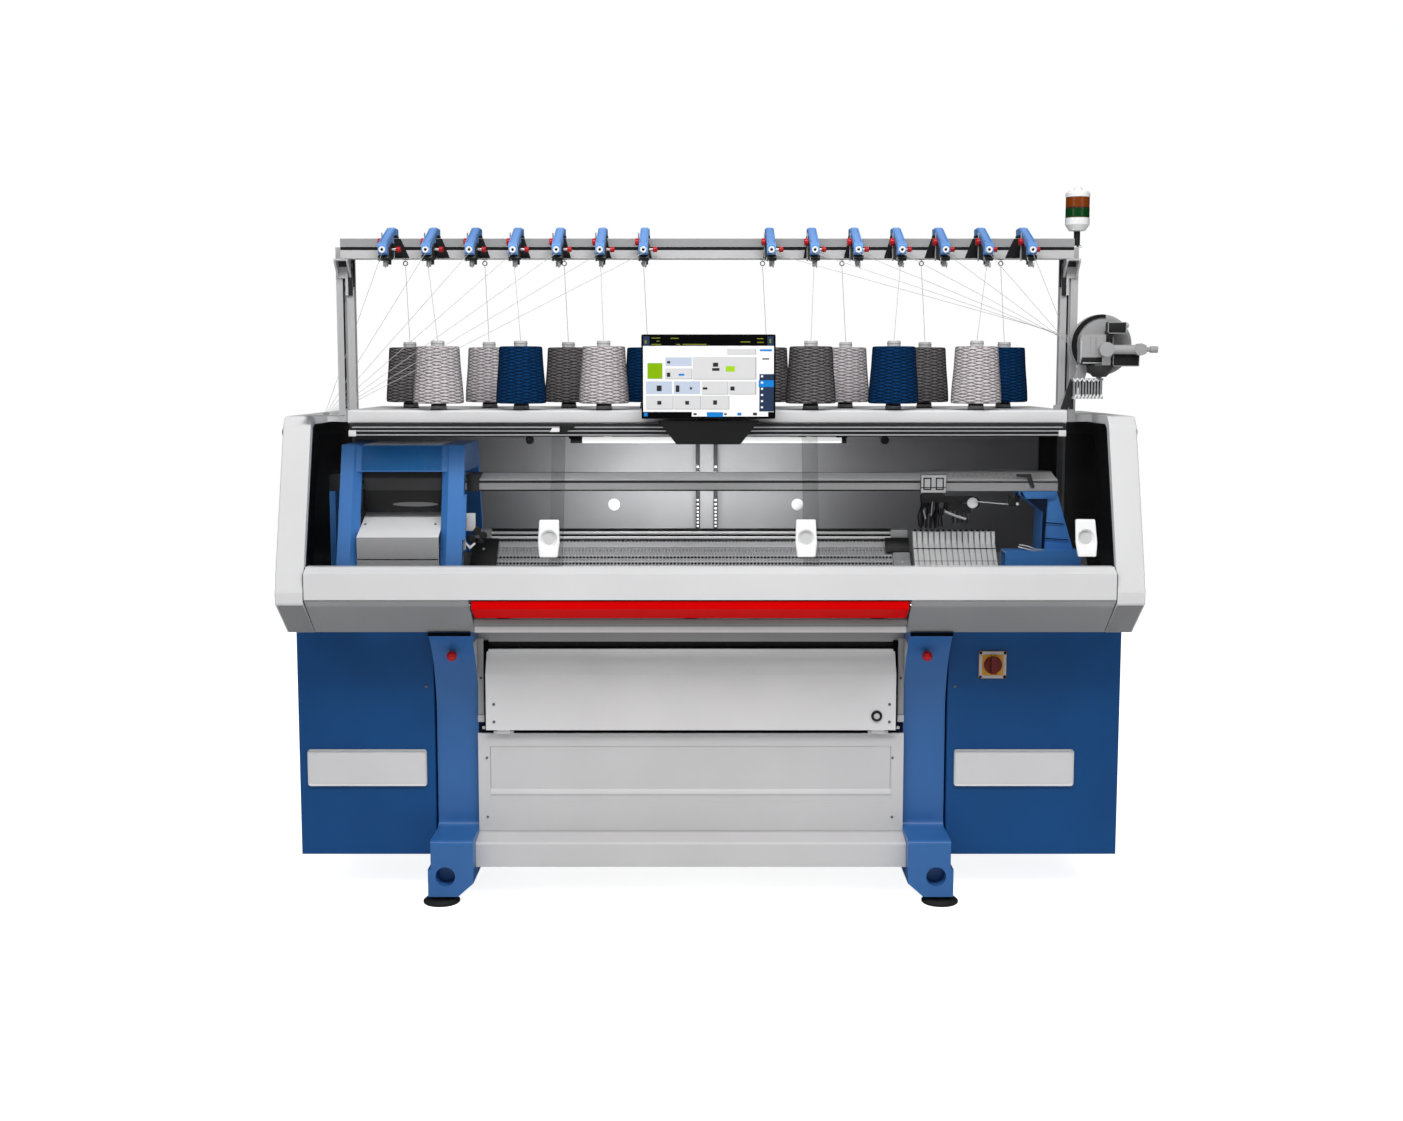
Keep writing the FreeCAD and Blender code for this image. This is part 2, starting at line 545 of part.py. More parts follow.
def bed_end_plates():
    """Plates that close the beds' ends; the rear ones carry the guide rods."""
    plates = []
    rods = rod_places()
    for s in (-1, 1):
        x0, x1 = sorted((s * (BED_HALF + SEAT), s * (BED_HALF + 52)))
        for front in (True, False):
            outline = [slope_point(a, t, front) for a, t in ((2, 8), (BED_DEPTH, 8), (BED_DEPTH, -BED_THICK + SEAT),
                                                             (BED_THICK, -BED_THICK + SEAT), (2, -2))]
            plate = along_x(outline, x0, x1)
            if not front:
                holder = along_x([(447, 1072), (447, 1118), (490, 1118), (490, 1050), (470, 1050)], x0, x1)
                plate = fuse(plate, holder)
                plate = cut(plate, *[rod(r + RUN, x0 - 1, d, z, X_AXIS, x1 - x0 + 2) for d, z, r in rods])
            plates.append(plate)
    return plates


def rod_places():
    """Depth, height and radius of the bright rods over the rear bed."""
    return ((456.0, 1092.0, 5.0), (470.0, 1106.0, 5.0))


def clamp_unit():
    """Yarn clamping and cutting unit: a ribbed block at the right end of the front bed."""
    x0, x1 = 700.0, 958.0
    a = slope_point(BED_DEPTH, -BED_THICK + SEAT)
    b = slope_point(BED_DEPTH, 18)
    c = slope_point(24, 18)
    body = along_x([a, b, c, (c[0] + 8, 1116), (430, 1116), (430, 1076), slope_point(BED_THICK, -BED_THICK + SEAT)],
                   x0, x1)
    pitch, slot = 18.0, 5.0
    ribs = int((x1 - x0) / pitch) - 1
    first = x0 + (x1 - x0 - pitch * ribs) / 2
    tools = []
    for k in range(ribs + 1):
        x = first + k * pitch
        low, high = slope_point(BED_DEPTH + 1, 8), slope_point(BED_DEPTH + 1, 30)
        inner = slope_point(24, 8)
        tools.append(along_x([low, high, slope_point(30, 40), (380, 1130), (424, 1130), (424, 1092), inner],
                             x - slot / 2, x + slot / 2))
    return cut(body, *tools)


def make_beds():
    add("front_needle_bed", needle_bed(True))
    add("rear_needle_bed", needle_bed(False))
    add("bed_carriers", bed_carrier(True), bed_carrier(False))
    add("bed_end_plates", *bed_end_plates())
    length = 2 * (BED_HALF + 50)
    add("guide_rods", *[rod(r, -BED_HALF - 50, d, z, X_AXIS, length) for d, z, r in rod_places()])
    add("clamp_unit", clamp_unit())
    rails = []
    for front in (True, False):
        web = [(RAIL_FRONT_D + 8, RAIL_Z - 4), (290 - SEAT, RAIL_Z - 4), (290 - SEAT, RAIL_Z + 4),
               (RAIL_FRONT_D + 8, RAIL_Z + 4)]
        d = RAIL_FRONT_D if front else 2 * RIDGE_D - RAIL_FRONT_D
        rails.append(fuse(rod(RAIL_R, RAIL_LEFT, d, RAIL_Z, X_AXIS, RAIL_RIGHT - RAIL_LEFT),
                          along_x(web if front else mirrored(web), RAIL_LEFT, RAIL_RIGHT)))
    add("carriage_rails", *rails)


def make_yarn_beam():
    """Beam that the yarn carriers run on, with perforated guide plates at its right end."""
    outline = [(BEAM_D, BEAM_Z), (BEAM_D, 1277), (340, 1277), (340, 1282), (308, 1282), (308, 1286), (400, 1303),
               (430, 1303), (430, 1290), (350, 1262), (350, BEAM_Z)]
    beam = along_x(outline, BEAM_LEFT, BEAM_RIGHT)
    plate = along_z([(705, 396), (760, 396), (BEAM_RIGHT, 396), (BEAM_RIGHT, 430), (1090, 500), (1040, 540),
                     (900, 545), (860, 500), (800, 530), (740, 470)], 1300, 1306)
    holes = []
    for k in range(11):
        a = math.radians(15 * k)
        holes.append(rod(4.0, 790 + 12 * k, 440 + 30 * math.sin(a), 1299, Z_AXIS, 8))
        holes.append(rod(5.0, 950 + 13 * k, 470 + 30 * math.cos(a), 1299, Z_AXIS, 8))
    holes.append(along_z([(905, 440), (940, 430), (950, 462), (915, 470)], 1299, 1307))
    add("yarn_beam", fuse(beam, cut(plate, *holes)))
    seat = BEAM_Z - SEAT
    ridge = slope_point(BED_THICK, -BED_THICK + SEAT)
    lean = [(300, ridge[1] - (ridge[0] - 300)), (300, seat), (BEAM_D + 115, seat), (ridge[0], ridge[1] + 20),
            ridge]
    silhouette = [(1081, 900), (1084, 1190), (1012, 1240), (1012, seat), (1128, seat), (1181, 1074), (1181, 900)]
    bracket = along_y(silhouette, 295, 440).common(along_x(lean, 1000, 1230))
    runway = block(960, 1189, 222, 302, 1012, 1074)
    runway = cut(runway, block(950, 1200, 226, 301, 1011, 1068))
    stop = 18.0
    post = along_x(lean, BEAM_LEFT, BEAM_LEFT + stop)
    add("beam_supports", fuse(bracket, runway), post)
    add("yarn_carrier", yarn_carrier())


def yarn_carrier():
    """Carrier block on the beam's front face, with its feeder arms behind and below."""
    x0, x1, low, high = 708.0, 785.0, 1247.0, 1303.0
    back = BEAM_D - SEAT
    body = block(x0, x1, 291, back, low, high)
    windows = [block(x, x + 25, 290, 299, low + 9, high - 9) for x in (x0 + 7, x1 - 32)]
    body = cut(body, *windows)
    hook = along_x([(back - 2, high - 4), (back - 2, high + 5), (345, high + 9), (345, high + 5), (back, high - 4)],
                   x0 + 10, x1 - 10)
    body = fuse(body, along_x([(292, low + 1), (back, low + 1), (352, low - 10), (352, low - 16), (292, low - 14)],
                              x0 + 8, x1 - 8))
    arms = []
    for k in range(4):
        x = x0 + 12 + 15 * k
        arms.append(along_x([(346, low - 15), (372, low - 15), (404, 1150), (404, 1128), (394, 1128), (380, 1150),
                             (346, low - 30)], x, x + 7))
    bridge = block(x0 + 10, 876, 346, 356, low - 34, low - 14)
    side = along_x([(346, low - 16), (400, low - 40), (400, low - 70), (346, low - 34)], 800, 812)
    disc = rod(19, 880, 350, 1212, V(0, -1, 0), 8)
    arm = along_y([(800, low - 30), (872, low - 42), (872, 1180), (800, 1190)], 350, 362)
    fingers = [along_y([(812 + 14 * k, 1192), (820 + 14 * k, 1190), (822 + 14 * k, 1150), (816 + 14 * k, 1146)],
                       352, 360) for k in range(4)]
    return fuse(body, bridge, side, arm, disc, *arms, *fingers)


# ---- carriage -----------------------------------------------------------------------------------------------
def arch_front(z):
    """Depth of the arch's front face at a height."""
    return ARCH_D - ARCH_LEAN * (ARCH_TOP - z)


def facet(x, way):
    """Wedge that bevels a leg's inner front edge at x all the way up; the leg lies on the given side of it."""
    low, high, past = SHOE_TOP + 25, ARCH_TOP + 10, 2.0
    d = arch_front(low)
    corners = [(x + way * (LEG_FACET + past), d - past), (x - way * past, d - past),
               (x - way * past, d + LEG_FACET + past)]
    face = Part.Face(Part.makePolygon([point(a, b, low) for a, b in corners + corners[:1]]))
    return face.extrude(V(0, ARCH_LEAN * (high - low), high - low))


def arch_side(x0, x1):
    """One side of the arch, with leaning legs that end in shoes around the rails."""
    outer = [(arch_front(SHOE_BOTTOM) + 10, SHOE_BOTTOM), (arch_front(SHOE_BOTTOM + 30), SHOE_BOTTOM + 30),
             (ARCH_D, ARCH_TOP)]
    far = RAIL_FRONT_D + RAIL_R + 8
    inner = [(far, SHOE_BOTTOM), (far, SHOE_TOP), (arch_front(SHOE_TOP + 20) + ARCH_LEG, SHOE_TOP + 20),
             (arch_front(ARCH_UNDER) + ARCH_LEG, ARCH_UNDER)]
    outline = outer + mirrored(outer)[::-1] + mirrored(inner) + inner[::-1]
    body = along_x(outline, x0, x1)
    body = rounded(body, 6.0, lambda m, w: is_along(w, X_AXIS) and m.z > ARCH_TOP - 1)
    web = [(arch_front(990) + ARCH_LEG - 3, 990), (arch_front(1110) + ARCH_LEG - 3, 1110),
           slope_point(CAM_FROM, CAM_GAP + CAM_THICK + SEAT), slope_point(CAM_TO, CAM_GAP + CAM_THICK + SEAT)]
    inner_x = x1 - 12 if x0 == CARRIAGE_LEFT else x0
    body = cut(body, facet(x1, -1) if x0 == CARRIAGE_LEFT else facet(x0, 1))
    body = fuse(body, along_x(web, inner_x, inner_x + 12), along_x(mirrored(web), inner_x, inner_x + 12))
    for d, sign in ((RAIL_FRONT_D, 1), (2 * RIDGE_D - RAIL_FRONT_D, -1)):
        mouth = sorted((d, d + sign * 40))
        body = cut(body, rod(RAIL_R + RAIL_CLEAR, x0 - 1, d, RAIL_Z, X_AXIS, x1 - x0 + 2),
                   block(x0 - 1, x1 + 1, mouth[0], mouth[1], RAIL_Z - 6, RAIL_Z + 6))
    return body


def make_carriage():
    x0, x1 = CARRIAGE_LEFT, CARRIAGE_RIGHT
    in0, in1 = x0 + SIDE_LEFT_WIDTH, x1 - SIDE_RIGHT_WIDTH
    bars = [along_x([(arch_front(ARCH_UNDER) + 6, ARCH_UNDER), (ARCH_D + 6, ARCH_TOP - 3), (ARCH_D + 34, ARCH_TOP - 3),
                     (ARCH_D + 34, ARCH_UNDER)], in0 - LEG_FACET + 6, in1 + LEG_FACET - 6)]
    bars.append(along_x(mirrored([(ARCH_D + 6, ARCH_UNDER), (ARCH_D + 6, ARCH_TOP - 3), (ARCH_D + 34, ARCH_TOP - 3),
                                  (ARCH_D + 34, ARCH_UNDER)]), in0 - 1, in1 + 1))
    fin = along_x([(188, 1112), (202, 1112), (243, 1238), (235, 1246), (226, 1240)], x1 - 1, x1 + 9)
    add("carriage_frame", fuse(arch_side(x0, in0), arch_side(in1, x1), *bars, fin))
    top = ARCH_TOP - 3
    lid = block(in0 + SEAT, in1 - SEAT, ARCH_D + 34 + SEAT, 2 * RIDGE_D - ARCH_D - 34 - SEAT, top - SHEET, top)
    box = folded([(170, 1012), (170, 1123), (330, 1185), (330, 1172)], SHEET, in0 + SEAT, in1 - SEAT)
    add("carriage_covers", box, lid)
    cams = []
    for front in (True, False):
        def at(s, t):
            return slope_point(s, t, front)
        top = CAM_GAP + CAM_THICK
        plate = along_x([at(CAM_FROM, CAM_GAP), at(CAM_TO, CAM_GAP), at(CAM_TO, top), at(CAM_FROM, top)],
                        in0 - 12, in1 + 12)
        mid = (in0 + in1) / 2
        track = [along_x([at(a, CAM_GAP - 1), at(a + 14, CAM_GAP - 1), at(a + 14, CAM_GAP + 5),
                          at(a, CAM_GAP + 5)], mid + b, mid + c) for a, b, c in
                 ((80, -90, -30), (100, -34, 34), (80, 30, 90), (130, -90, 90))]
        cams.append(cut(plate, *track))
    add("cam_plates", *cams)


# ---- rear wall, doors, table --------------------------------------------------------------------------------
def make_rear_wall():
    """Two wall sheets that meet at a pair of slotted posts, pegs on them, and a sheet between the legs."""
    x0, x1 = HOOD_LEFT + HOOD_BAND + SEAT, HOOD_RIGHT - HOOD_BAND - SEAT
    back, post, centre = WALL_D + SHEET, 38.0, creel(0)
    z0, z1 = LEG_TOP + SEAT, TABLE_BOTTOM
    wall = block(x0, x1, WALL_D, back, z0, z1)
    wall = cut(wall, block(centre - 4, centre + 4, WALL_D - 1, back + 1, z0 - 1, z1 + 1))
    halves = []
    for solid, side in zip(sorted(wall.Solids, key=lambda s: s.CenterOfMass.x), (-1, 1)):
        p = sorted((centre + side * 4, centre + side * post))
        upright = cut(block(p[0], p[1], WALL_D - 17, WALL_D + 1, z0, z1),
                      block(p[0] + 4, p[1] - 4, WALL_D - 18, WALL_D - 3, z0 - 1, z1 + 1))
        peg_x = creel(side * 592)
        peg = fuse(rod(6, peg_x, WALL_D + 1, 1404, V(0, -1, 0), 36), rod(13, peg_x, WALL_D - 34, 1396, V(0, -1, 0), 10))
        half = fuse(solid, upright, peg)
        slots = [block(creel(side * 30) - 3, creel(side * 30) + 3, WALL_D - 18, back + 1, 1130 + 66 * k, 1180 + 66 * k)
                 for k in range(5)]
        plug_x = creel(side * 310) - 3.5
        half = cut(half, *slots, rod(16, plug_x, WALL_D - 1, 1171, Y_AXIS, SHEET + 2))
        halves.append(half)
    span = LEG_X - LEG_WIDTH / 2 - SEAT
    low = block(-span, span, 782, 782 + SHEET, 164 + SEAT, LEG_TOP)
    add("rear_panels", *halves, low)


def door(index):
    """Clear sheet on its own track, with a handle that has a round finger cup."""
    x0, x1 = DOOR_SPANS[index]
    d = DOOR_D[index]
    rise = DOOR_TOP - DOOR_BOTTOM
    lean = DOOR_SLOPE * rise
    across = DOOR_THICK * math.sqrt(1 + DOOR_SLOPE ** 2)
    sheet = along_x([(d, DOOR_BOTTOM), (d + lean, DOOR_TOP), (d + lean + across, DOOR_TOP), (d + across, DOOR_BOTTOM)],
                    x0, x1)
    hx = HANDLE_X[index]
    half_w, half_h, proud, cup = 32.0, 54.0, 14.0, 25.0
    z0, z1 = HANDLE_Z - half_h, HANDLE_Z + half_h
    outline = [(hx - half_w + 5, z0), (hx + half_w - 5, z0), (hx + half_w, HANDLE_Z - 12), (hx + half_w - 3, z1),
               (hx - half_w + 3, z1), (hx - half_w, HANDLE_Z - 12)]
    def face(z):
        return d + DOOR_SLOPE * (z - DOOR_BOTTOM)
    shell = along_x([(face(z0) + 1, z0), (face(z0) - proud + 4, z0), (face(z0 + 12) - proud, z0 + 12),
                     (face(z1 - 12) - proud, z1 - 12), (face(z1) - proud + 4, z1), (face(z1) + 1, z1)],
                    hx - half_w - 1, hx + half_w + 1)
    handle = shell.common(along_y(outline, 0, 200))
    lean_axis = V(0, -1, DOOR_SLOPE)
    centre = face(HANDLE_Z)
    pocket = Part.makeCylinder(cup, 30, point(hx, centre - 1, HANDLE_Z), lean_axis)
    rim = Part.makeCylinder(cup + 4, proud + 3, point(hx, centre + 2, HANDLE_Z), lean_axis)
    return cut(fuse(sheet, fuse(handle, rim)), pocket)


def make_doors():
    for name, index in (("door_left", 0), ("door_middle", 1), ("door_right", 2)):
        add(name, door(index))
    track_half = TABLE_HALF - 17
    x0, x1 = creel(-track_half), creel(track_half)
    body = block(x0, x1, TRACK_D, TRACK_REAR_D, TRACK_BOTTOM, TABLE_BOTTOM - SEAT)
    ribs = [block(x0, x1, d, d + w, 1425, TRACK_BOTTOM + 1) for d, w in
            ((160.5, 3.0), (172.4, 2.4), (182.4, 2.4), (192.5, 3.0))]
    grooves = [block(x0 - 1, x1 + 1, TRACK_D - 1, TRACK_D + 4, z, z + 5) for z in (1441.0, 1451.0)]
    add("door_track", fuse(cut(body, *grooves), *ribs))
    lamp_left, lamp_right, lamp_d = creel(-411.5), creel(418.5), 206.0
    lamp = block(lamp_left, lamp_right, lamp_d - 9, lamp_d + 9, 1404, 1422)
    lamp = rounded(lamp, 4.0, lambda m, w: is_along(w, X_AXIS))
    hangers = [block(creel(x) - 12, creel(x) + 12, lamp_d - 3, lamp_d + 3, 1421, TABLE_BOTTOM - SEAT)
               for x in (-300.0, 300.0)]
    add("lamp_bar", fuse(lamp, *hangers))


def cone_places(row):
    first, pitch, count, d = row
    return [(creel(s * (first + pitch * k)), d) for s in (-1, 1) for k in range(count)]


def make_table():
    """Yarn table on the rear wall, and the spindles that hold the cones."""
    table = block(creel(-TABLE_HALF), creel(TABLE_HALF), TABLE_D, WALL_D + SHEET, TABLE_BOTTOM + SEAT, TABLE_TOP)
    table = rounded(table, 6.0, lambda m, w: is_along(w, X_AXIS) and m.y < TABLE_D + 1)
    corners = [block(*sorted((creel(s * (TABLE_HALF - TABLE_NOTCH)), creel(s * (TABLE_HALF + 1)))), TABLE_D - 1,
                     UPRIGHT_D - UPRIGHT_DEEP, TABLE_BOTTOM, TABLE_TOP + 1) for s in (-1, 1)]
    table = cut(table, *corners)
    spindle = [(0, -1), (TUBE_R + 4, -1), (TUBE_R + 4, 10), (TUBE_R + 1, 18 - SEAT), (9, 18 - SEAT), (8, 120), (0, 126)]
    holders = [turned(spindle, x, d, TABLE_TOP, Z_AXIS) for row in (CONE_BACK, CONE_FRONT)
               for x, d in cone_places(row)]
    add("yarn_table", fuse(table, *holders))


# ---- creel --------------------------------------------------------------------------------------------------
def make_creel_frame():
    uprights = []
    for s in (-1, 1):
        bar = slotted_profile(UPRIGHT_TOP - TABLE_BOTTOM, UPRIGHT_WIDE, UPRIGHT_DEEP)
        bar.translate(point(creel(s * UPRIGHT_HALF), UPRIGHT_D, TABLE_BOTTOM))
        uprights.append(bar)
    add("stand_uprights", *uprights)
    rail = slotted_profile(2 * UPRIGHT_HALF, PROFILE, PROFILE)
    rail.rotate(V(0, 0, 0), Y_AXIS, 90)
    rail.translate(point(creel(-UPRIGHT_HALF), RAIL_D - SEAT, RAIL_TOP - PROFILE / 2))
    gussets = []
    under = RAIL_TOP - PROFILE
    face = UPRIGHT_D - UPRIGHT_DEEP / 2 - SEAT
    for s in (-1, 1):
        x = creel(s * UPRIGHT_HALF)
        web = along_x([(RAIL_D - 28, under), (face, under), (face, under - 56), (face - 6, under - 56),
                       (RAIL_D - 28, under - 8)], x - 22, x + 22)
        web = cut(web, block(x - 16, x + 16, RAIL_D - 40, face - 5, under - 60, under - 5))
        strap = block(x - s * 12 - 9, x - s * 12 + 9, face - 8, face, 1851, under - 40)
        gussets += [web, strap]
    add("top_rail", fuse(rail, *gussets))


def eye_places():
    middle, first, pitch, count = EYE_ROW
    return sorted(middle + s * (first + pitch * k) for s in (-1, 1) for k in range(count))


def unit_places():
    return [creel(s * (UNIT_FIRST + UNIT_PITCH * k)) for s in (-1, 1) for k in range(UNITS_PER_SIDE)]


def strip_left():
    """Left end of the pin strip, beside the table."""
    return creel(-TABLE_HALF) - 114.5


def pin_places():
    """Pins on a strip across the hood's left edge, which turn the yarns of the left units down."""
    return [(strip_left() + 50 + 4 * k, 190.0 - 7 * k) for k in range(UNITS_PER_SIDE)]


def make_units():
    """Yarn control units clamped on the rail: body, tension knobs, eyelet and stop arm."""
    seat = RAIL_TOP + SEAT
    front = RAIL_D - SEAT - PROFILE / 2 - SEAT
    side = [(386, seat), (386, 2052), (335, 2052), (182, 1995), (RING_D, 1990), (RING_D, 1968), (202, 1962), (240, 1962),
            (front, 1990), (front, seat)]
    bodies, knobs, guides = [], [], []
    half = UNIT_WIDTH / 2
    knob = [(0, 0), (6, 0), (6, 2), (11, 3), (11, 12), (8, 14), (0, 14)]
    small = [(0, 0), (4, 0), (4, 12), (8, 13), (8, 24), (6, 26), (0, 26)]
    for x in unit_places():
        body = rounded(along_x(side, x - half, x + half), 3.0, lambda m, w: is_along(w, X_AXIS) and m.z > 2051)
        bodies.append(body)
        knobs.append(turned(knob, x - half - SEAT, 262, 2006, V(-1, 0, 0)))
        knobs.append(turned(small, x + half + SEAT, 268, 1984, X_AXIS))
        ring = turned([(RING_R / 2, 0), (RING_R, 0), (RING_R, 4), (RING_R / 2, 4)], x, RING_D - SEAT, RING_Z,
                      V(0, -1, 0))
        arm = along_x([(206, 1962 - SEAT), (238, 1962 - SEAT), (234, 1950), (226, 1944), (ARM_D + 2.5, ARM_Z),
                       (ARM_D - 2.5, ARM_Z), (218, 1948), (206, 1952)], x - 5, x + 9)
        guides += [ring, arm]
    under = RAIL_TOP - PROFILE - SEAT
    for x in eye_places():
        ring = turned([(EYE_R - 3, -2), (EYE_R, -2), (EYE_R, 2), (EYE_R - 3, 2)], x, RAIL_D, EYE_Z, V(0, -1, 0))
        stem = rod(1.2, x, RAIL_D, EYE_Z + EYE_R - 1, Z_AXIS, under - EYE_Z - EYE_R)
        guides.append(fuse(ring, stem, block(x - 7, x + 7, RAIL_D - 9, RAIL_D + 9, under - 2, under)))
    level = HOOD_TOP + SEAT
    pins = [rod(PIN_R, x, d, level + 1, Z_AXIS, 11) for x, d in pin_places()]
    strip = strip_left()
    guides.append(fuse(block(strip, strip + 110, 140, 200, level, level + SHEET), *pins))
    add("feeder_bodies", *bodies)
    add("feeder_knobs", *knobs)
    add("feeder_guides", *guides)


def make_cones():
    """Wound cones on paper tubes, in three colours."""
    back = cone_places(CONE_BACK)
    front = cone_places(CONE_FRONT)
    back.sort()
    front.sort()
    colours = dict(zip([x for x, _ in back], "dark light dark navy dark light dark navy".split()))
    colours.update(dict(zip([x for x, _ in front], "light navy light dark navy light".split())))
    bore = TUBE_R + 0.2
    package = [(bore, 0), (CONE_R - 14, 0), (CONE_R - 3, 3), (CONE_R, 9), (CONE_TOP_R + 1, CONE_HEIGHT - 8),
               (CONE_TOP_R - 5, CONE_HEIGHT), (bore, CONE_HEIGHT)]
    tube = [(TUBE_R - TUBE_WALL, 0), (TUBE_R, 0), (TUBE_R, CONE_HEIGHT + TUBE_OUT - 2),
            (TUBE_R - TUBE_WALL, CONE_HEIGHT + TUBE_OUT)]
    groups = {"dark": [], "light": [], "navy": []}
    tubes = []
    for x, d in back + front:
        groups[colours[x]].append(turned(package, x, d, CONE_Z + 1, Z_AXIS))
        tubes.append(turned(tube, x, d, CONE_Z, Z_AXIS))
    for colour, solids in groups.items():
        add("cones_" + colour, *solids)
    add("cone_tubes", *tubes)


def strand(a, b):
    """A taut thread between two (x, depth, height) places."""
    start, end = point(*a), point(*b)
    way = end - start
    thread_r = 0.7
    return Part.makeCylinder(thread_r, way.Length, start, way)


def make_strands():
    """Yarn from each cone up to its unit, then down to the machine's left side or the feed unit."""
    strands = []
    cone_top = CONE_Z + CONE_HEIGHT + TUBE_OUT + 1
    units = sorted(unit_places())
    back = sorted(cone_places(CONE_BACK))
    front = sorted(cone_places(CONE_FRONT))
    for (x, d), eye in zip(back, eye_places()):
        strands.append(strand((x, d, cone_top), (eye, RAIL_D, EYE_Z - EYE_R - 1)))
    near = [units[k] for k in (1, 3, 5, 8, 10, 12)]
    for (x, d), u in zip(front, near):
        strands.append(strand((x, d, cone_top), (u, ARM_D, ARM_Z - 1)))
    start = (RING_D - 2, RING_Z - RING_R - 1)
    for u, (x, d) in zip(units, pin_places()):
        strands.append(strand((u, *start), (x + PIN_R + 1, d, HOOD_TOP + SHEET + 3)))
    for k, u in enumerate(units[UNITS_PER_SIDE:]):
        a, reach = math.radians(4 * (UNITS_PER_SIDE - 1 - k) - 8), DISC_R - 3
        end = (creel(TABLE_HALF) + DISC_OUT - reach * math.cos(a), DISC_D + DISC_THICK / 2, DISC_Z + reach * math.sin(a))
        strands.append(strand((u, *start), end))
    add("yarn_strands", *strands)


# ---- friction feed unit and signal tower --------------------------------------------------------------------
def make_feed_unit():
    """Feed disc on an axle, its housing with motor and arm, and the bracket from the table's end."""
    end = creel(TABLE_HALF)
    x, z, d = end + DISC_OUT, DISC_Z, DISC_D
    disc = turned([(DISC_AXLE_R + RUN, 0), (DISC_R - 8, 0), (DISC_R, 3), (DISC_R - 4, DISC_THICK / 2),
                   (DISC_R, DISC_THICK - 3), (DISC_R - 8, DISC_THICK), (DISC_AXLE_R + RUN, DISC_THICK)], x, d, z, Y_AXIS)
    add("feed_disc", disc)
    front = d - SEAT
    housing = block(x - 74, x + 26, front - 42, front, z - 60, z + 30)
    housing = rounded(housing, 12.0, lambda m, w: is_along(w, Y_AXIS))
    axle = rod(DISC_AXLE_R, x, front - 5, z, Y_AXIS, DISC_THICK + 10)
    arm_z, arm_r, arm_end = z - 15, 18.0, x + 120
    arm = fuse(rod(arm_r + 4, x, front - 74, arm_z, Y_AXIS, 36), rod(arm_r - 4, x, front - 58, arm_z, X_AXIS, arm_end - x),
               rod(arm_r, arm_end - 18, front - 74, arm_z, Y_AXIS, 32), rod(7, arm_end - 2, front - 58, arm_z, X_AXIS, 30))
    handle = rod(10, arm_end + 13, front - 58, arm_z, X_AXIS, 22)
    motor = rounded(block(x + 24, x + 104, front - 50, front - 8, z - 65, z - 25), 5.0, lambda m, w: is_along(w, Y_AXIS))
    upper = fuse(rounded(block(x + 6, x + 62, front - 52, front - 20, z + 33, z + 67), 5.0,
                         lambda m, w: is_along(w, Y_AXIS)),
                 block(x + 4, x + 22, front - 48, front - 20, z + 1, z + 41))
    foot = TABLE_TOP + SEAT
    bracket = along_y([(end - 29, foot), (end, foot), (end + 9, foot + 12), (end + 64, foot + 97), (x - 40, z - 62),
                       (x - 40, z - 58), (x - 72, z - 58), (end + 31, foot + 97), (end - 13, foot + 17),
                       (end - 29, foot + 12)], front - 10, front)
    add("feed_housing", fuse(housing, axle, arm, handle, motor, upper, bracket))
    under, guide_d = z - 60 - SEAT, front - 26
    funnel = turned([(5, -30), (9, -30), (20, -4), (23, -4), (23, 0), (17, 0), (5, -24)], x - 12, guide_d, under,
                    Z_AXIS)
    stem = block(x - 20, x - 4, guide_d - 3, guide_d + 3, under - 44, under - 26)
    left, right, pitch, low = x - 92, x + 1, 9.0, z - 163
    bars = [block(left, right, guide_d - 6, guide_d + 6, level, level + 7) for level in (low, under - 48)]
    teeth = [block(left + 3 + pitch * k, left + 7 + pitch * k, guide_d - 6, guide_d + 6, low + 4, under - 45)
             for k in range(int((right - left) / pitch))]
    add("feed_guides", fuse(funnel, stem, *bars, *teeth))


def make_tower():
    """Signal tower: a housing's base on a short pole over the upright's edge, two lenses and a cap."""
    x, d, foot = creel(UPRIGHT_HALF) + TOWER_OUT, TOWER_D, UPRIGHT_TOP
    plate = block(x - TOWER_OUT - 20, x + 15, d - 14, d + 14, foot + SEAT, foot + 5)
    r, lens_high, base_top = TOWER_R, 31.0, UPRIGHT_TOP + 89
    base = [(0, foot + SEAT), (14, foot + SEAT), (14, foot + 5), (9, foot + 8), (9, foot + 49), (r - 12, foot + 51),
            (r, foot + 69), (r, base_top), (0, base_top)]
    crown = base_top + 2 * lens_high + 1
    cap = [(0, crown), (r, crown), (r, crown + 11), (r - 6, crown + 18), (14, crown + 20), (11, crown + 29),
           (8, crown + 31), (0, crown + 31)]
    lens = [(0, 0), (r - 2, 0), (r - 1, 2), (r - 1, lens_high - 2), (r - 2, lens_high), (0, lens_high)]
    add("tower_housing", fuse(turned(base, x, d, 0, Z_AXIS), plate), turned(cap, x, d, 0, Z_AXIS))
    add("tower_lenses", *[turned(lens, x, d, base_top + k * (lens_high + 0.5), Z_AXIS) for k in (0, 1)])


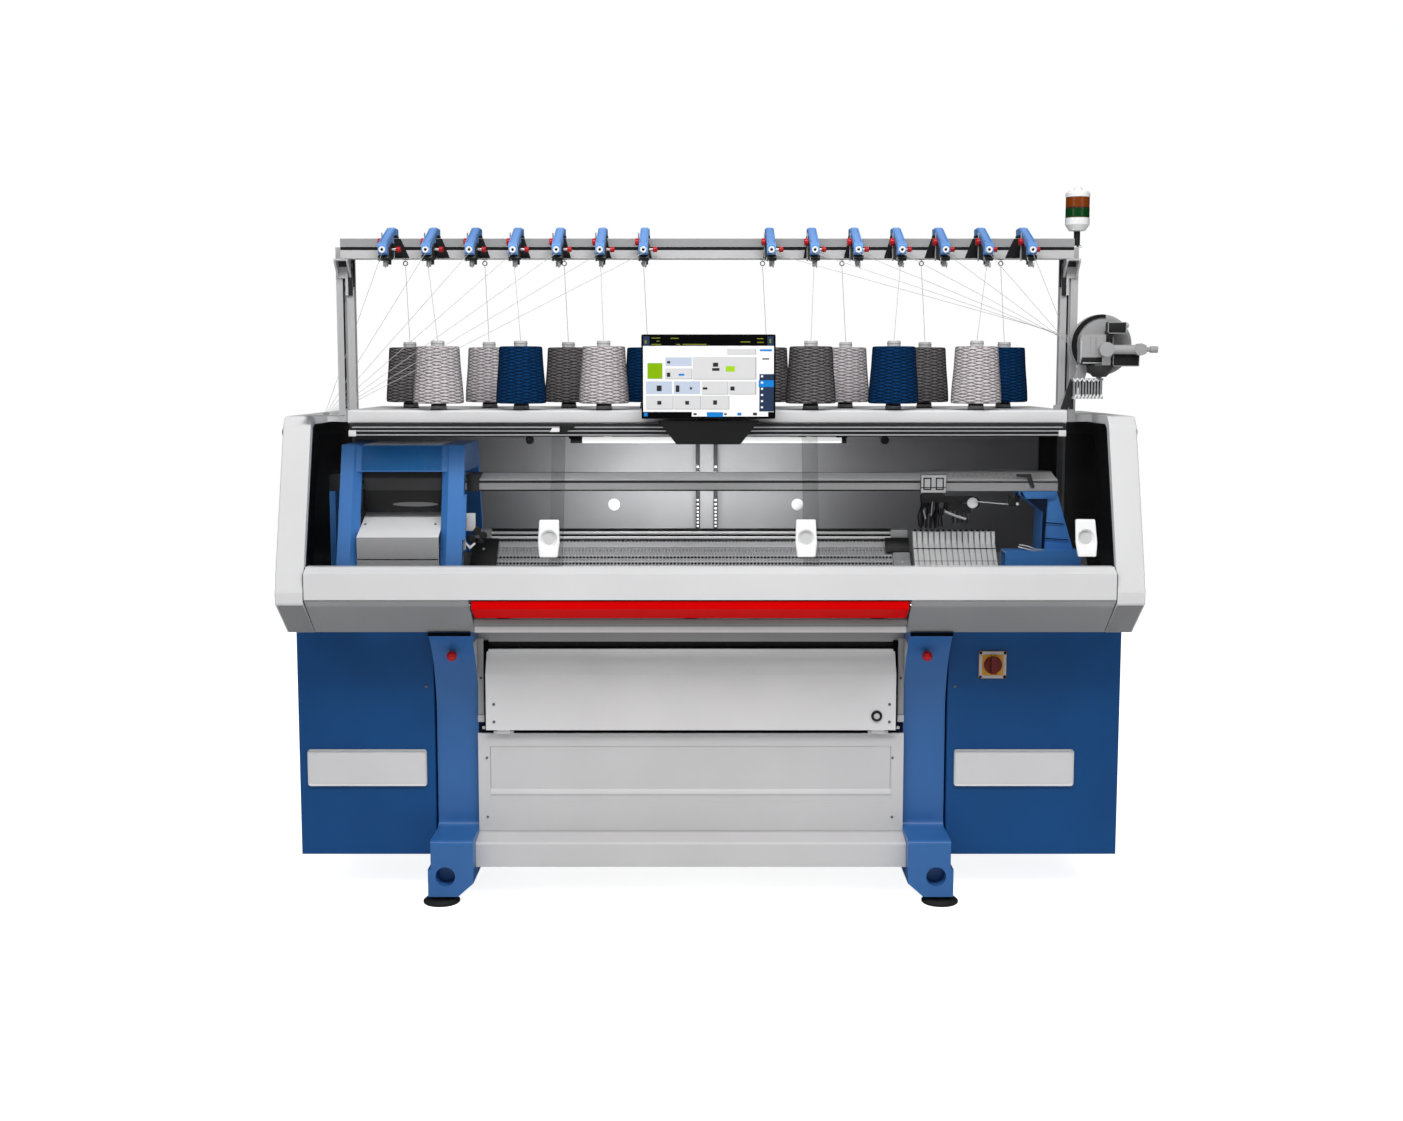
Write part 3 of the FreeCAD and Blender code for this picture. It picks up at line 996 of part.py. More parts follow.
def make_monitor():
    """Operator's panel that tilts on a pin behind it, and the bracket that carries it from the table."""
    x = creel(MONITOR_OUT)
    body = block(x - MONITOR_HALF, x + MONITOR_HALF, MONITOR_D, MONITOR_D + MONITOR_THICK, MONITOR_BOTTOM, MONITOR_TOP)
    body = rounded(body, 8.0, lambda m, w: is_along(w, Y_AXIS))
    back = MONITOR_D + MONITOR_THICK
    ears = []
    for s in (-1, 1):
        e = sorted((x + s * 31, x + s * 43))
        ears.append(rod(TILT_R, e[0], TILT_D, TILT_Z, X_AXIS, 12))
        ears.append(block(e[0], e[1], back - 1, TILT_D, TILT_Z - TILT_R, TILT_Z + TILT_R))
    pin = rod(TILT_PIN_R, x - 43, TILT_D, TILT_Z, X_AXIS, 86)
    add("monitor", fuse(body, *ears, pin))
    neck = along_x([(140, 1465), (178, 1465), (178, 1625), (170.5, 1625), (170.5, 1473), (140, 1473)], x - 30, x + 30)
    knuckle = fuse(rod(TILT_R, x - 30, TILT_D, TILT_Z, X_AXIS, 60), block(x - 30, x + 30, TILT_D, 171, TILT_Z - 8, TILT_Z + 8))
    knuckle = cut(knuckle, rod(TILT_PIN_R + RUN, x - 31, TILT_D, TILT_Z, X_AXIS, 62))
    wedge = along_y([(x - 95, 1403), (x + 95, 1403), (x + 150, 1473), (x - 150, 1473)], 128, 152)
    wedge = fuse(wedge, block(x - 60, x + 60, 151, TRACK_D - SEAT, 1440, 1473))
    arm = block(x - 30, x + 30, 176, TABLE_D - SEAT, 1466, 1500)
    add("monitor_bracket", fuse(wedge, neck, knuckle, arm))


# ---- build --------------------------------------------------------------------------------------------------
for make in (make_base, make_cabinets, make_stop_buttons, make_hood, make_start_bar, make_take_down, make_beds,
             make_yarn_beam, make_carriage, make_rear_wall, make_doors, make_table, make_creel_frame, make_units,
             make_cones, make_strands, make_feed_unit, make_tower, make_monitor):
    make()

os.makedirs("parts", exist_ok=True)
for name, shape in nodes.items():
    shape.exportStep(os.path.join("parts", name + ".step"))
print(len(nodes), "nodes,", sum(len(s.Solids) for s in nodes.values()), "solids")
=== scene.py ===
"""Finishes of an industrial flat knitting machine: paint, plastic, metal and wound yarn on the fixed frame."""
import math

import bpy
from mathutils import Matrix, Vector

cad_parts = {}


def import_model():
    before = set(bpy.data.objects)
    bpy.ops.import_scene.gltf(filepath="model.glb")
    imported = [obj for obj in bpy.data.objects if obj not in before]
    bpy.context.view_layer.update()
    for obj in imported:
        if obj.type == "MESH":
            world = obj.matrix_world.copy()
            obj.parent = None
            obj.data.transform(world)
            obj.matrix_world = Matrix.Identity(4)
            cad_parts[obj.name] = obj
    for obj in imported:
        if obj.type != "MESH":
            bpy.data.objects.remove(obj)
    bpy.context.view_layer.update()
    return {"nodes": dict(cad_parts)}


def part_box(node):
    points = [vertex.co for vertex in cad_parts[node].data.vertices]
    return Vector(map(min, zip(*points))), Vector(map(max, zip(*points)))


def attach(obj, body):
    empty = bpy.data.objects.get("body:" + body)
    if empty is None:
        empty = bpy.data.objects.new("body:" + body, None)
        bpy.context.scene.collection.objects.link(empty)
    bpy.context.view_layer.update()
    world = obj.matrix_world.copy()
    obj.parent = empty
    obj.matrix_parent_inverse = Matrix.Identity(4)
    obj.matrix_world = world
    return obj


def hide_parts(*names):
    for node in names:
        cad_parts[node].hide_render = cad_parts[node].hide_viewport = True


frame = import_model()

MM = 0.001
X, Y, Z = Vector((1, 0, 0)), Vector((0, 1, 0)), Vector((0, 0, 1))

# ---- places, all from the frame ----
BED = sum(corner.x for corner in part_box("front_needle_bed")) / 2        # middle of the needle beds
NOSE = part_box("front_cover_bar")[0].y                                   # foremost line of the hood
CREEL = sum(corner.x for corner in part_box("yarn_table")) / 2            # middle of the table and rail


def at(x, d, z):
    """A place from the beds' middle, back from the nose and up from the floor, in millimetres."""
    return Vector((BED + x * MM, NOSE + d * MM, z * MM))


def creel(x):
    """Millimetres from the creel's middle, as millimetres from the beds' middle."""
    return x + (CREEL - BED) / MM


def span(node):
    """A node's lowest and highest corners in the millimetres that at() takes."""
    return [((c.x - BED) / MM, (c.y - NOSE) / MM, c.z / MM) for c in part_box(node)]


# ---- modelling helpers, all in millimetres ----
SMOOTH_BELOW = math.radians(32)         # edges flatter than this are shaded smooth


def pick(*pieces):
    """Leaves edit mode and selects these pieces alone, the first one active."""
    if bpy.context.object and bpy.context.object.mode == "EDIT":
        bpy.ops.object.mode_set(mode="OBJECT")
    bpy.ops.object.select_all(action="DESELECT")
    for piece in pieces:
        piece.select_set(True)
    if pieces:
        bpy.context.view_layer.objects.active = pieces[0]


def placed(name, data):
    """A new object for a mesh, curve, lamp or camera."""
    obj = bpy.data.objects.new(name, data)
    bpy.context.scene.collection.objects.link(obj)
    return obj


def settle():
    """Leaves edit mode, and puts the piece's place into its mesh."""
    bpy.ops.object.mode_set(mode="OBJECT")
    bpy.ops.object.transform_apply(location=True, rotation=True, scale=True)
    return bpy.context.object


def changed(obj, kind, **settings):
    """Applies one modifier to a piece."""
    pick(obj)
    mod = obj.modifiers.new(kind, kind)
    for key, value in settings.items():
        setattr(mod, key, value)
    bpy.ops.object.modifier_apply(modifier=mod.name)
    return obj


def bevelled(obj, width, segments=2, angle=30):
    """Eases the edges sharper than an angle, then shades the piece smooth between them."""
    if width:
        changed(obj, "BEVEL", width=width * MM, segments=segments, limit_method="ANGLE",
            angle_limit=math.radians(angle), harden_normals=False)
    pick(obj)
    bpy.ops.object.shade_smooth_by_angle(angle=SMOOTH_BELOW)
    return obj


def block(low, high, ease=0.6):
    """A block between two corners, with eased edges."""
    pick()
    a, b = at(*low), at(*high)
    bpy.ops.mesh.primitive_cube_add(size=1, location=(a + b) / 2, scale=b - a)
    return bevelled(settle(), ease)


def traced(start, strokes):
    """Draws an outline from one vertex, stroke by stroke, and stays in edit mode with all of it selected."""
    pick()
    bpy.ops.mesh.primitive_plane_add(size=MM, location=start)
    bpy.ops.object.mode_set(mode="EDIT")
    bpy.ops.mesh.merge(type="CENTER")
    for stroke in strokes:
        bpy.ops.mesh.extrude_region_move(TRANSFORM_OT_translate={"value": stroke})
    bpy.ops.mesh.select_all(action="SELECT")


def closed():
    """Turns a drawn solid's faces outwards and settles it."""
    bpy.ops.mesh.select_all(action="SELECT")
    bpy.ops.mesh.normals_make_consistent(inside=False)
    return settle()


def drawn(points, pull, ease):
    """An outline drawn point by point, filled and pulled out to a solid."""
    traced(points[0], [b - a for a, b in zip(points, points[1:])])
    bpy.ops.mesh.edge_face_add()
    bpy.ops.mesh.extrude_region_move(TRANSFORM_OT_translate={"value": pull})
    return bevelled(closed(), ease)


def side_cut(outline, x0, x1, ease=0.6):
    """A (depth, height) outline pulled out along the beds."""
    return drawn([at(x0, d, z) for d, z in outline], X * (x1 - x0) * MM, ease)


def front_cut(outline, d0, d1, ease=0.6):
    """An (x, height) outline pulled out backwards."""
    return drawn([at(x, d0, z) for x, z in outline], Y * (d1 - d0) * MM, ease)


def turned(profile, centre, axis=Z, steps=32):
    """A (radius, height) outline spun about an axis, as on a lathe."""
    start = Vector((profile[0][0] * MM, 0, profile[0][1] * MM))
    traced(start, [((r1 - r0) * MM, 0, (h1 - h0) * MM) for (r0, h0), (r1, h1) in zip(profile,
        profile[1:] + profile[:1])])
    bpy.ops.mesh.spin(steps=steps, angle=2 * math.pi, center=(0, 0, 0), axis=(0, 0, 1))
    bpy.ops.mesh.select_all(action="SELECT")
    bpy.ops.mesh.remove_doubles(threshold=0.02 * MM)
    obj = closed()
    turn = Z.rotation_difference(axis).to_matrix().to_4x4()
    obj.data.transform(Matrix.Translation(centre) @ turn)
    return bevelled(obj, 0)


def wire(points, radius):
    """A bent wire or thin rod through points, as a tube."""
    curve = bpy.data.curves.new("wire", "CURVE")
    curve.dimensions = "3D"
    line = curve.splines.new("POLY")
    line.points.add(len(points) - 1)
    for place, point in zip(line.points, points):
        place.co = (*at(*point), 1)
    curve.bevel_depth, curve.bevel_resolution, curve.use_fill_caps = radius * MM, 2, True
    pick(placed("wire", curve))
    bpy.ops.object.convert(target="MESH")
    return bevelled(bpy.context.object, 0)


def twin(obj, move):
    """A copy with a mesh of its own, moved by a matrix."""
    other = placed(obj.name, obj.data.copy())
    other.data.transform(move)
    return other


def copies(obj, moves):
    """A piece and its copies, moved in millimetres."""
    return [obj] + [twin(obj, Matrix.Translation(Vector(move) * MM)) for move in moves]


def repeated(obj, count, step):
    """A row of copies of a small piece along the beds, as one mesh."""
    return changed(obj, "ARRAY", count=count, use_relative_offset=False, use_constant_offset=True,
        constant_offset_displace=(step * MM, 0, 0))


def joined(pieces):
    """Several solids made one piece."""
    pick(*pieces)
    if len(pieces) > 1:
        bpy.ops.object.join()
    return bpy.context.object


def give(name, pieces, material, body="machine", slot=None, instead=()):
    """Gives a piece its name, material, the body it rides on and the solids it stands for. A list becomes one."""
    obj = joined(pieces) if isinstance(pieces, list) else pieces
    obj.name = name
    obj.data.materials.clear()
    obj.data.materials.append(material)
    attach(obj, body)
    if instead:
        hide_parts(*instead)


# ---- material helpers ----
def linear(hex_colour):
    """An sRGB hex colour as the linear RGBA that the shaders take."""
    parts = [int(hex_colour[k:k + 2], 16) / 255 for k in (1, 3, 5)]
    return tuple(c / 12.92 if c <= 0.04045 else ((c + 0.055) / 1.055) ** 2.4 for c in parts) + (1.0,)


def node(tree, kind, inputs=None, **settings):
    """Adds a shader node. Its inputs are values, sockets, or nodes whose first output they take."""
    made = tree.nodes.new("ShaderNode" + kind)
    for key, value in settings.items():
        setattr(made, key, value)
    for key, value in (inputs or {}).items():
        if isinstance(value, bpy.types.Node):
            value = value.outputs[0]
        if isinstance(value, bpy.types.NodeSocket):
            tree.links.new(value, made.inputs[key])
        else:
            made.inputs[key].default_value = value
    return made


def begun(name):
    """A new material with an empty tree, and its Object coordinates."""
    material = bpy.data.materials.new(name)
    material.use_nodes = True
    tree = material.node_tree
    tree.nodes.clear()
    return material, tree, node(tree, "TexCoord").outputs["Object"]


def surfaced(material, inputs):
    """The material with its Principled surface."""
    surface = node(material.node_tree, "BsdfPrincipled", inputs)
    node(material.node_tree, "OutputMaterial", {"Surface": surface})
    return material


def ramp(tree, factor, stops):
    """A colour ramp through (position, hex colour) stops."""
    made = node(tree, "ValToRGB", {"Fac": factor})
    bar = made.color_ramp.elements
    while len(bar) < len(stops):
        bar.new(0.5)
    for element, (place, colour) in zip(bar, stops):
        element.position = place
        element.color = linear(colour)
    return made


def noise(tree, place, scale, detail=2.0, roughness=0.5):
    return node(tree, "TexNoise", {"Vector": place, "Scale": scale, "Detail": detail, "Roughness": roughness})


def spread(tree, value, low, high):
    """A value from 0 to 1, mapped to another range."""
    return node(tree, "MapRange", {"Value": value, "To Min": low, "To Max": high})


def relief(tree, height, strength, depth_mm):
    return node(tree, "Bump", {"Height": height, "Strength": strength, "Distance": depth_mm * MM})


def coat(name, light, dark, roughness, grain_mm=1.2, depth_mm=0.02, shine=0.3, glow=0.0):
    """Sprayed paint or moulded plastic: a faint cloudiness in its colour and an orange-peel grain."""
    material, tree, place = begun(name)
    cloud = noise(tree, place, 3.0, 3.0)
    colour = ramp(tree, cloud, [(0.35, dark), (0.65, light)])
    grain = noise(tree, place, 1000 / grain_mm / 4)
    inputs = {"Base Color": colour, "Roughness": spread(tree, cloud, roughness * 0.85, roughness * 1.15),
        "Normal": relief(tree, grain, 0.25, depth_mm), "Specular IOR Level": shine, "Emission Strength": glow}
    if glow:
        inputs["Emission Color"] = colour
    return surfaced(material, inputs)


def metal(name, light, dark, roughness, along=(1, 60, 60), share=1.0):
    """Bare metal with fine lines along one direction, from grinding, drawing or brushing."""
    material, tree, place = begun(name)
    lines = noise(tree, node(tree, "Mapping", {"Vector": place, "Scale": along}), 8.0, 4.0, 0.6)
    return surfaced(material, {"Base Color": ramp(tree, lines, [(0.3, dark), (0.7, light)]), "Metallic": share,
        "Roughness": spread(tree, lines, roughness * 0.75, roughness * 1.3), "Normal": relief(tree, lines, 0.2,
        0.02)})


def lens(name, dark, light):
    """Coloured translucent lens, glossy outside and ringed inside."""
    material, tree, place = begun(name)
    rings = node(tree, "TexWave", {"Vector": place, "Scale": 90.0, "Distortion": 0.4},
        bands_direction="Z").outputs["Fac"]
    return surfaced(material, {"Base Color": ramp(tree, rings, [(0.2, dark), (0.9, light)]),
        "Normal": relief(tree, rings, 0.3, 0.2), "Roughness": 0.22, "Transmission Weight": 0.25, "IOR": 1.49})


def acrylic(name, veil):
    """Smoked acrylic sheet: light passes straight through, less where the sheet is darker or scratched."""
    material, tree, place = begun(name)
    haze = noise(tree, place, 4.0, 4.0)
    return surfaced(material, {"Base Color": linear("#040404"), "Specular IOR Level": 0.05,
        "Roughness": spread(tree, haze, 0.02, 0.08), "Alpha": spread(tree, haze, veil - 0.02, veil + 0.02)})


def wound_yarn(name, light, dark):
    """Yarn cross-wound on a cone: two crossing sets of wavy strands, from the piece's own unrolled map, and
    painted shade that darkens the colour where the surface turns away from view.
    """
    material, tree, _ = begun(name)
    unrolled = node(tree, "UVMap", uv_map="unrolled")
    sets = []
    for lean, phase in ((0.22, 0.0), (-0.19, 3.7)):
        turn = node(tree, "Mapping", {"Vector": unrolled, "Rotation": (0, 0, lean),
            "Location": (phase, phase, 0), "Scale": (2.2, 1.0, 1.0)})
        wave = node(tree, "TexWave", {"Vector": turn, "Scale": 6.6, "Distortion": 2.2, "Detail": 2.0,
            "Detail Scale": 2.0}, bands_direction="Y")
        sets.append(wave.outputs["Fac"])
    crossing = node(tree, "Math", {0: sets[0], 1: sets[1]}, operation="MINIMUM")
    fine = noise(tree, unrolled, 70.0, 3.0)
    mixed = node(tree, "Math", {0: fine, 1: 0.30, 2: crossing}, operation="MULTIPLY_ADD")
    colour = ramp(tree, mixed, [(0.17, dark), (0.40, light)])
    # painted shade: the colour is darkened towards the cone's outline, where its surface turns away from view
    edge = node(tree, "LayerWeight", {"Blend": 0.42}).outputs["Facing"]
    shade = node(tree, "MapRange", {"Value": edge, "From Min": 0.45, "To Min": 1.0, "To Max": 0.22})
    colour_with_painted_edge_shade = node(tree, "VectorMath", {0: colour, "Scale": shade}, operation="SCALE")
    return surfaced(material, {"Base Color": colour_with_painted_edge_shade, "Normal": relief(tree, mixed, 0.8, 1.5), "Roughness": 0.9,
        "Specular IOR Level": 0.05})


def display(name, colour, soft):
    """A field of a lit display: even colour with a very faint pixel grid."""
    material, tree, place = begun("display_" + name)
    shade = ramp(tree, noise(tree, place, 700.0), [(0.3, colour), (0.7, soft)])
    return surfaced(material, {"Base Color": shade, "Emission Color": shade, "Roughness": 0.25,
        "Emission Strength": 0.06})


# ---- materials, with a light and a dark colour and the roughness ----
panel_grey = coat("pale_grey_powder_coat", "#DDDDDE", "#D7D7D8", 0.42)
wall_grey = coat("wall_grey_powder_coat", "#929294", "#8A8A8C", 0.6, shine=0.05)
frame_dark = coat("dark_grey_enamel", "#2A2A2C", "#222224", 0.4)
nylon_black = coat("black_glass_filled_nylon", "#161617", "#101011", 0.38, grain_mm=0.8)
abs_blue = coat("light_blue_abs", "#6F9FDE", "#5C8CCB", 0.36)
abs_white = coat("white_abs", "#F0F0F0", "#E8E8E8", 0.32)
seam_grey = coat("shadowed_seam", "#6A6A6B", "#606061", 0.6)
seam_black = coat("black_gap", "#050505", "#030303", 0.8, shine=0.05)
pale_plastic = coat("pale_grey_abs", "#B9B9BA", "#AEAEAF", 0.4)
carrier_grey = coat("light_grey_carrier", "#C2C2C3", "#B6B6B7", 0.4)
beam_black = coat("black_slot_strip", "#0A0A0B", "#070708", 0.5)
painted_shade_blue = coat("painted_shade_blue_enamel", "#04152E", "#031228", 0.5, shine=0.1)
painted_shade_grey = coat("painted_shade_underside", "#8C8C8D", "#868687", 0.5, shine=0.1)
tube_white = coat("white_polypropylene", "#DCDCDC", "#CFCFCF", 0.4)
rail_pale = coat("pale_rail", "#C2C2C3", "#BABABB", 0.45)
post_grey = coat("grey_side_post", "#9A9A9B", "#929293", 0.45)
box_shade = coat("carriage_box_painted_shade", "#A6A6A7", "#9E9E9F", 0.45)
soft_black = coat("soft_black_plastic", "#19191A", "#121213", 0.5)
charcoal = coat("charcoal_plastic", "#303031", "#29292A", 0.4)
plate_grey = coat("silk_screened_plate", "#D6D6D7", "#D0D0D1", 0.4)
ground_steel = metal("ground_steel", "#B0B0B1", "#A2A2A3", 0.5, share=0.3)
bright_steel = metal("bright_steel", "#D4D5D7", "#B9BABC", 0.3, share=0.6)
chromed = metal("chromed_steel", "#D8D9DB", "#C9CACC", 0.12)
green_lens = lens("green_polycarbonate", "#003A10", "#0A5220")
clear_acrylic = acrylic("clear_acrylic", 0.09)
smoked_acrylic = acrylic("smoked_acrylic", 0.15)
yarn_dark = wound_yarn("charcoal_yarn", "#6E6B6C", "#1A1A1A")
yarn_light = wound_yarn("light_grey_yarn", "#CFC9CB", "#5A5758")
yarn_navy = wound_yarn("navy_yarn", "#0C3560", "#021020")

CAD_FINISH = (          # the frame's own nodes and what they are made of
    (coat("leg_blue_enamel", "#3468A6", "#3063A0", 0.32), "left_leg right_leg"),
    (coat("black_rubber", "#1B1B1C", "#141415", 0.7, grain_mm=0.8), "levelling_feet takedown_roller"),
    (panel_grey, "takedown_cover yarn_table"),
    (coat("lower_panel_powder_coat", "#CBCBCC", "#C6C6C7", 0.42), "lower_crossbars lower_panel"),
    (coat("cabinet_blue_powder_coat", "#0C4A84", "#09447B", 0.4, shine=0.2), "left_cabinet right_cabinet"),
    (coat("yellow_abs", "#CE9420", "#C4891A", 0.35), "switch_frame"),
    (coat("dark_red_abs", "#7A0A0A", "#640707", 0.35), "switch_knob"),
    (coat("red_abs", "#C4121A", "#A80D14", 0.3), "left_stop_button right_stop_button feeder_knobs"),
    (coat("white_powder_coat", "#DADADB", "#D5D5D6", 0.38), "left_end_cover right_end_cover front_cover_bar"),
    (coat("smoked_window", "#0C0C0D", "#080809", 0.3, depth_mm=0.002, shine=0.15), "side_linings"),
    (coat("grey_powder_coat", "#929293", "#8B8B8C", 0.42), "front_aprons lip_rail inner_fascia"),
    (coat("signal_red_enamel", "#D80000", "#D00000", 0.45, shine=0.03), "start_bar"),
    (frame_dark, "front_beam door_track"),
    (coat("machined_cast_iron_paint", "#5B5D60", "#515356", 0.5, grain_mm=2.5), "bed_carriers"),
    (ground_steel, "front_needle_bed rear_needle_bed cam_plates"),
    (bright_steel, "bed_end_plates feeder_guides feed_guides"),
    (coat("black_lock_ring", "#0E0E0F", "#0A0A0B", 0.35), "takedown_lock"),
    (chromed, "carriage_rails"),
    (metal("polished_rod", "#FFFFFF", "#F2F2F2", 0.5, share=0.2), "guide_rods"),
    (coat("carriage_blue_enamel", "#3F7BC0", "#3A74B8", 0.32), "carriage_frame beam_supports"),
    (abs_white, "carriage_covers tower_housing"),
    (metal("anodised_aluminium", "#CECECF", "#C0C0C1", 0.5, share=0.3), "top_rail"),
    (metal("anodised_beam", "#A6A6A7", "#9A9A9B", 0.55, share=0.2), "yarn_beam"),
    (metal("clamp_aluminium", "#E4E4E5", "#D6D6D7", 0.45, share=0.3), "clamp_unit"),
    (metal("anodised_aluminium_upright", "#C6C6C7", "#B8B8B9", 0.5, (60, 60, 1), 0.3), "stand_uprights"),
    (nylon_black, "yarn_carrier monitor monitor_bracket"),
    (wall_grey, "rear_panels"),
    (clear_acrylic, "door_middle"),
    (smoked_acrylic, "door_left door_right"),
    (coat("opal_acrylic", "#F2F2F2", "#EAEAEA", 0.3, glow=0.8), "lamp_bar"),
    (abs_blue, "feeder_bodies"),
    (yarn_dark, "cones_dark"),
    (yarn_light, "cones_light"),
    (yarn_navy, "cones_navy"),
    (tube_white, "cone_tubes"),
    (coat("grey_yarn_strand", "#C4C4C4", "#B4B4B4", 0.8, grain_mm=0.6), "yarn_strands"),
    (coat("unit_grey_powder_coat", "#A6A6A7", "#9C9C9D", 0.4), "feed_disc feed_housing"),
    (lens("amber_polycarbonate", "#7A3200", "#9A4A10"), "tower_lenses"))
for material, nodes in CAD_FINISH:
    for name in nodes.split():
        mesh = frame["nodes"][name].data
        mesh.materials.clear()
        mesh.materials.append(material)


# ---- wound cones ----
CONE_BASE, CONE_TOP, CONE_BORE = 76.0, 65.0, 20.3       # radii
CONE_ROWS = (           # depth, offsets from the creel's middle, colours from left to right
    (475.0, (187.5, 437.5, 687.5, 937.5), "dark light dark navy dark light dark navy"),
    (234.0, (312.5, 562.5, 812.5), "light navy light dark navy light"))
TABLE_TOP, TUBE_TOP = 1503, 1701                        # heights of the table and of the paper tubes' tops


def wound_cone(x, d):
    """One package of yarn: soft shoulders, and its surface unrolled in a map for the strands."""
    low, high = (corner[2] for corner in span("cones_light"))
    base, top, tall = CONE_BASE, CONE_TOP, high - low
    profile = [(CONE_BORE, 0.5), (base - 9, 0.5), (base - 3, 1.3), (base - 0.8, 3.2), (base, 7.0)]
    for share in (k / 8 for k in range(1, 8)):
        profile.append((base + (top - base) * share + 0.5 * math.sin(7 * share), 10 + (tall - 20) * share))
    profile += [(top, tall - 7), (top - 0.9, tall - 3), (top - 3, tall - 1.1), (top - 9, tall - 0.5),
        (CONE_BORE, tall - 0.5)]
    centre = at(x, d, low)
    obj = turned(profile, centre, steps=72)
    unrolled = obj.data.uv_layers.new(name="unrolled")
    for face in obj.data.polygons:
        middle = face.center - centre
        home = math.atan2(middle.y, middle.x)
        for loop in face.loop_indices:
            corner = obj.data.vertices[obj.data.loops[loop].vertex_index].co - centre
            angle = math.atan2(corner.y, corner.x)
            angle += 2 * math.pi * round((home - angle) / (2 * math.pi))
            inwards = base * MM - math.hypot(corner.x, corner.y)
            run = corner.z * 5.0 + inwards * 5.0 * (abs(face.normal.z) > 0.7)
            unrolled.data[loop].uv = (angle / (2 * math.pi) + x * 0.0137, run + d * 0.001 + x * 0.0071)
    return obj


def cones():
    """Yarn on the cones, black posts between them and the table, and rings on the paper tubes' tops."""
    wound, posts, rims = {}, [], []
    for d, offsets, colours in CONE_ROWS:
        places = sorted(creel(side * o) for o in offsets for side in (-1, 1))
        for x, colour in zip(places, colours.split()):
            wound.setdefault(colour, []).append(wound_cone(x, d))
    for colour, material in (("dark", yarn_dark), ("light", yarn_light), ("navy", yarn_navy)):
        give("wound_cones_" + colour, wound[colour], material, "machine", "yarn_" + colour,
            ("cones_" + colour,))
    for d, offsets, _ in CONE_ROWS:
        for x in [creel(side * o) for o in offsets for side in (-1, 1)]:
            posts.append(turned([(21.6, 0.2), (25.5, 0.2), (25.5, 2), (23, 3), (23, 17.8), (21.6, 17.8)],
                at(x, d, TABLE_TOP)))
            rims.append(turned([(20.1, 0), (20.9, 0), (20.9, 2.5), (20.1, 2.5)], at(x, d, TUBE_TOP)))
    give("cone_posts", posts, soft_black)
    give("tube_rims", rims, pale_plastic)


cones()

# ---- sliding doors ----
DOOR_LEAN = 130.0 / 383.0                               # back per millimetre up
DOOR_SHEET, GRIP_Z, GRIP_PROUD = 4.2, 1129.0, 14.0      # the sheet's depth, the handles' height and thickness
DOORS = (("left", 38.0, -417.0, smoked_acrylic), ("middle", 48.0, 342.0, clear_acrylic),
         ("right", 58.0, 1171.0, smoked_acrylic))       # name, depth, handle's place, sheet


def door(name, plane, grip_x, acrylic_sheet):
    """Clear sheet with a white moulded handle, whose finger cup narrows towards the sheet, and a grey disc of
    painted shade on the cup's floor.
    """
    body = "door_" + name
    (x0, _, z0), (x1, _, z1) = span(body)

    def face(z):
        return plane + DOOR_LEAN * (z - z0)

    sheet = side_cut([(face(z0), z0), (face(z1), z1), (face(z1) + DOOR_SHEET, z1), (face(z0) + DOOR_SHEET, z0)],
        x0, x1, 0.5)
    give("door_sheet_" + name, sheet, acrylic_sheet, body, "clear_door", (body,))
    outline = [(-27, -54), (27, -54), (32, -12), (29, 54), (-29, 54), (-32, -12)]
    front = face(GRIP_Z) - GRIP_PROUD
    grip = front_cut([(grip_x + x, GRIP_Z + z) for x, z in outline], front, front + GRIP_PROUD - 0.3, 0)
    bevelled(grip, 4.5, 4)
    deep = GRIP_PROUD - 1.5
    cup = turned([(0, -1), (26, -1), (25, 1), (19, deep), (0, deep)], at(grip_x, front, GRIP_Z), Y, 40)
    changed(grip, "BOOLEAN", operation="DIFFERENCE", solver="EXACT", object=cup)
    bpy.data.objects.remove(cup)
    bevelled(grip, 0.5, 2, 50)
    # painted shade: a grey disc on the white cup's floor stands for the shade inside the recess
    floor = turned([(0, 0), (18.6, 0), (18.6, 0.4), (0, 0.4)], at(grip_x, front + GRIP_PROUD - 2.1, GRIP_Z), Y,
        40)
    for piece in (grip, floor):
        for vertex in piece.data.vertices:
            vertex.co.y += DOOR_LEAN * (vertex.co.z - GRIP_Z * MM)
    give("door_grip_" + name, grip, abs_white, body)
    give("painted_shade_cup_floor_" + name, floor, rail_pale, body)


for each in DOORS:
    door(*each)

# ---- needle beds ----
RIDGE_D, FABRIC_GAP, RIDGE_Z = 437.0, 12.0, 1083.0
BED_HALF, BED_DEPTH, BED_THICK, GROOVE = 635.0, 185.0, 24.0, 4.0
NEEDLES = 116
PITCH = 2 * BED_HALF / NEEDLES


def down_bed(s, t):
    """Depth and height at s down the front bed's slope and t above its surface."""
    k = math.sqrt(0.5)
    return RIDGE_D - FABRIC_GAP / 2 - k * (s + t), RIDGE_Z - k * (s - t)


def along_bed(corners, x0, x1, ease=0.0):
    return side_cut([down_bed(s, t) for s, t in corners], x0, x1, ease)


def in_pitch(corners, a, b):
    """A piece at the first needle, between two shares of the pitch."""
    return along_bed(corners, -BED_HALF + PITCH * a, -BED_HALF + PITCH * b)


def to_rear(obj):
    """The rear bed's copy of a front piece, mirrored through the fabric gap."""
    plane = Matrix.Translation(Y * at(0, RIDGE_D, 0).y)
    other = twin(obj, plane @ Matrix.Diagonal((1, -1, 1, 1)) @ plane.inverted())
    other.data.flip_normals()
    return other


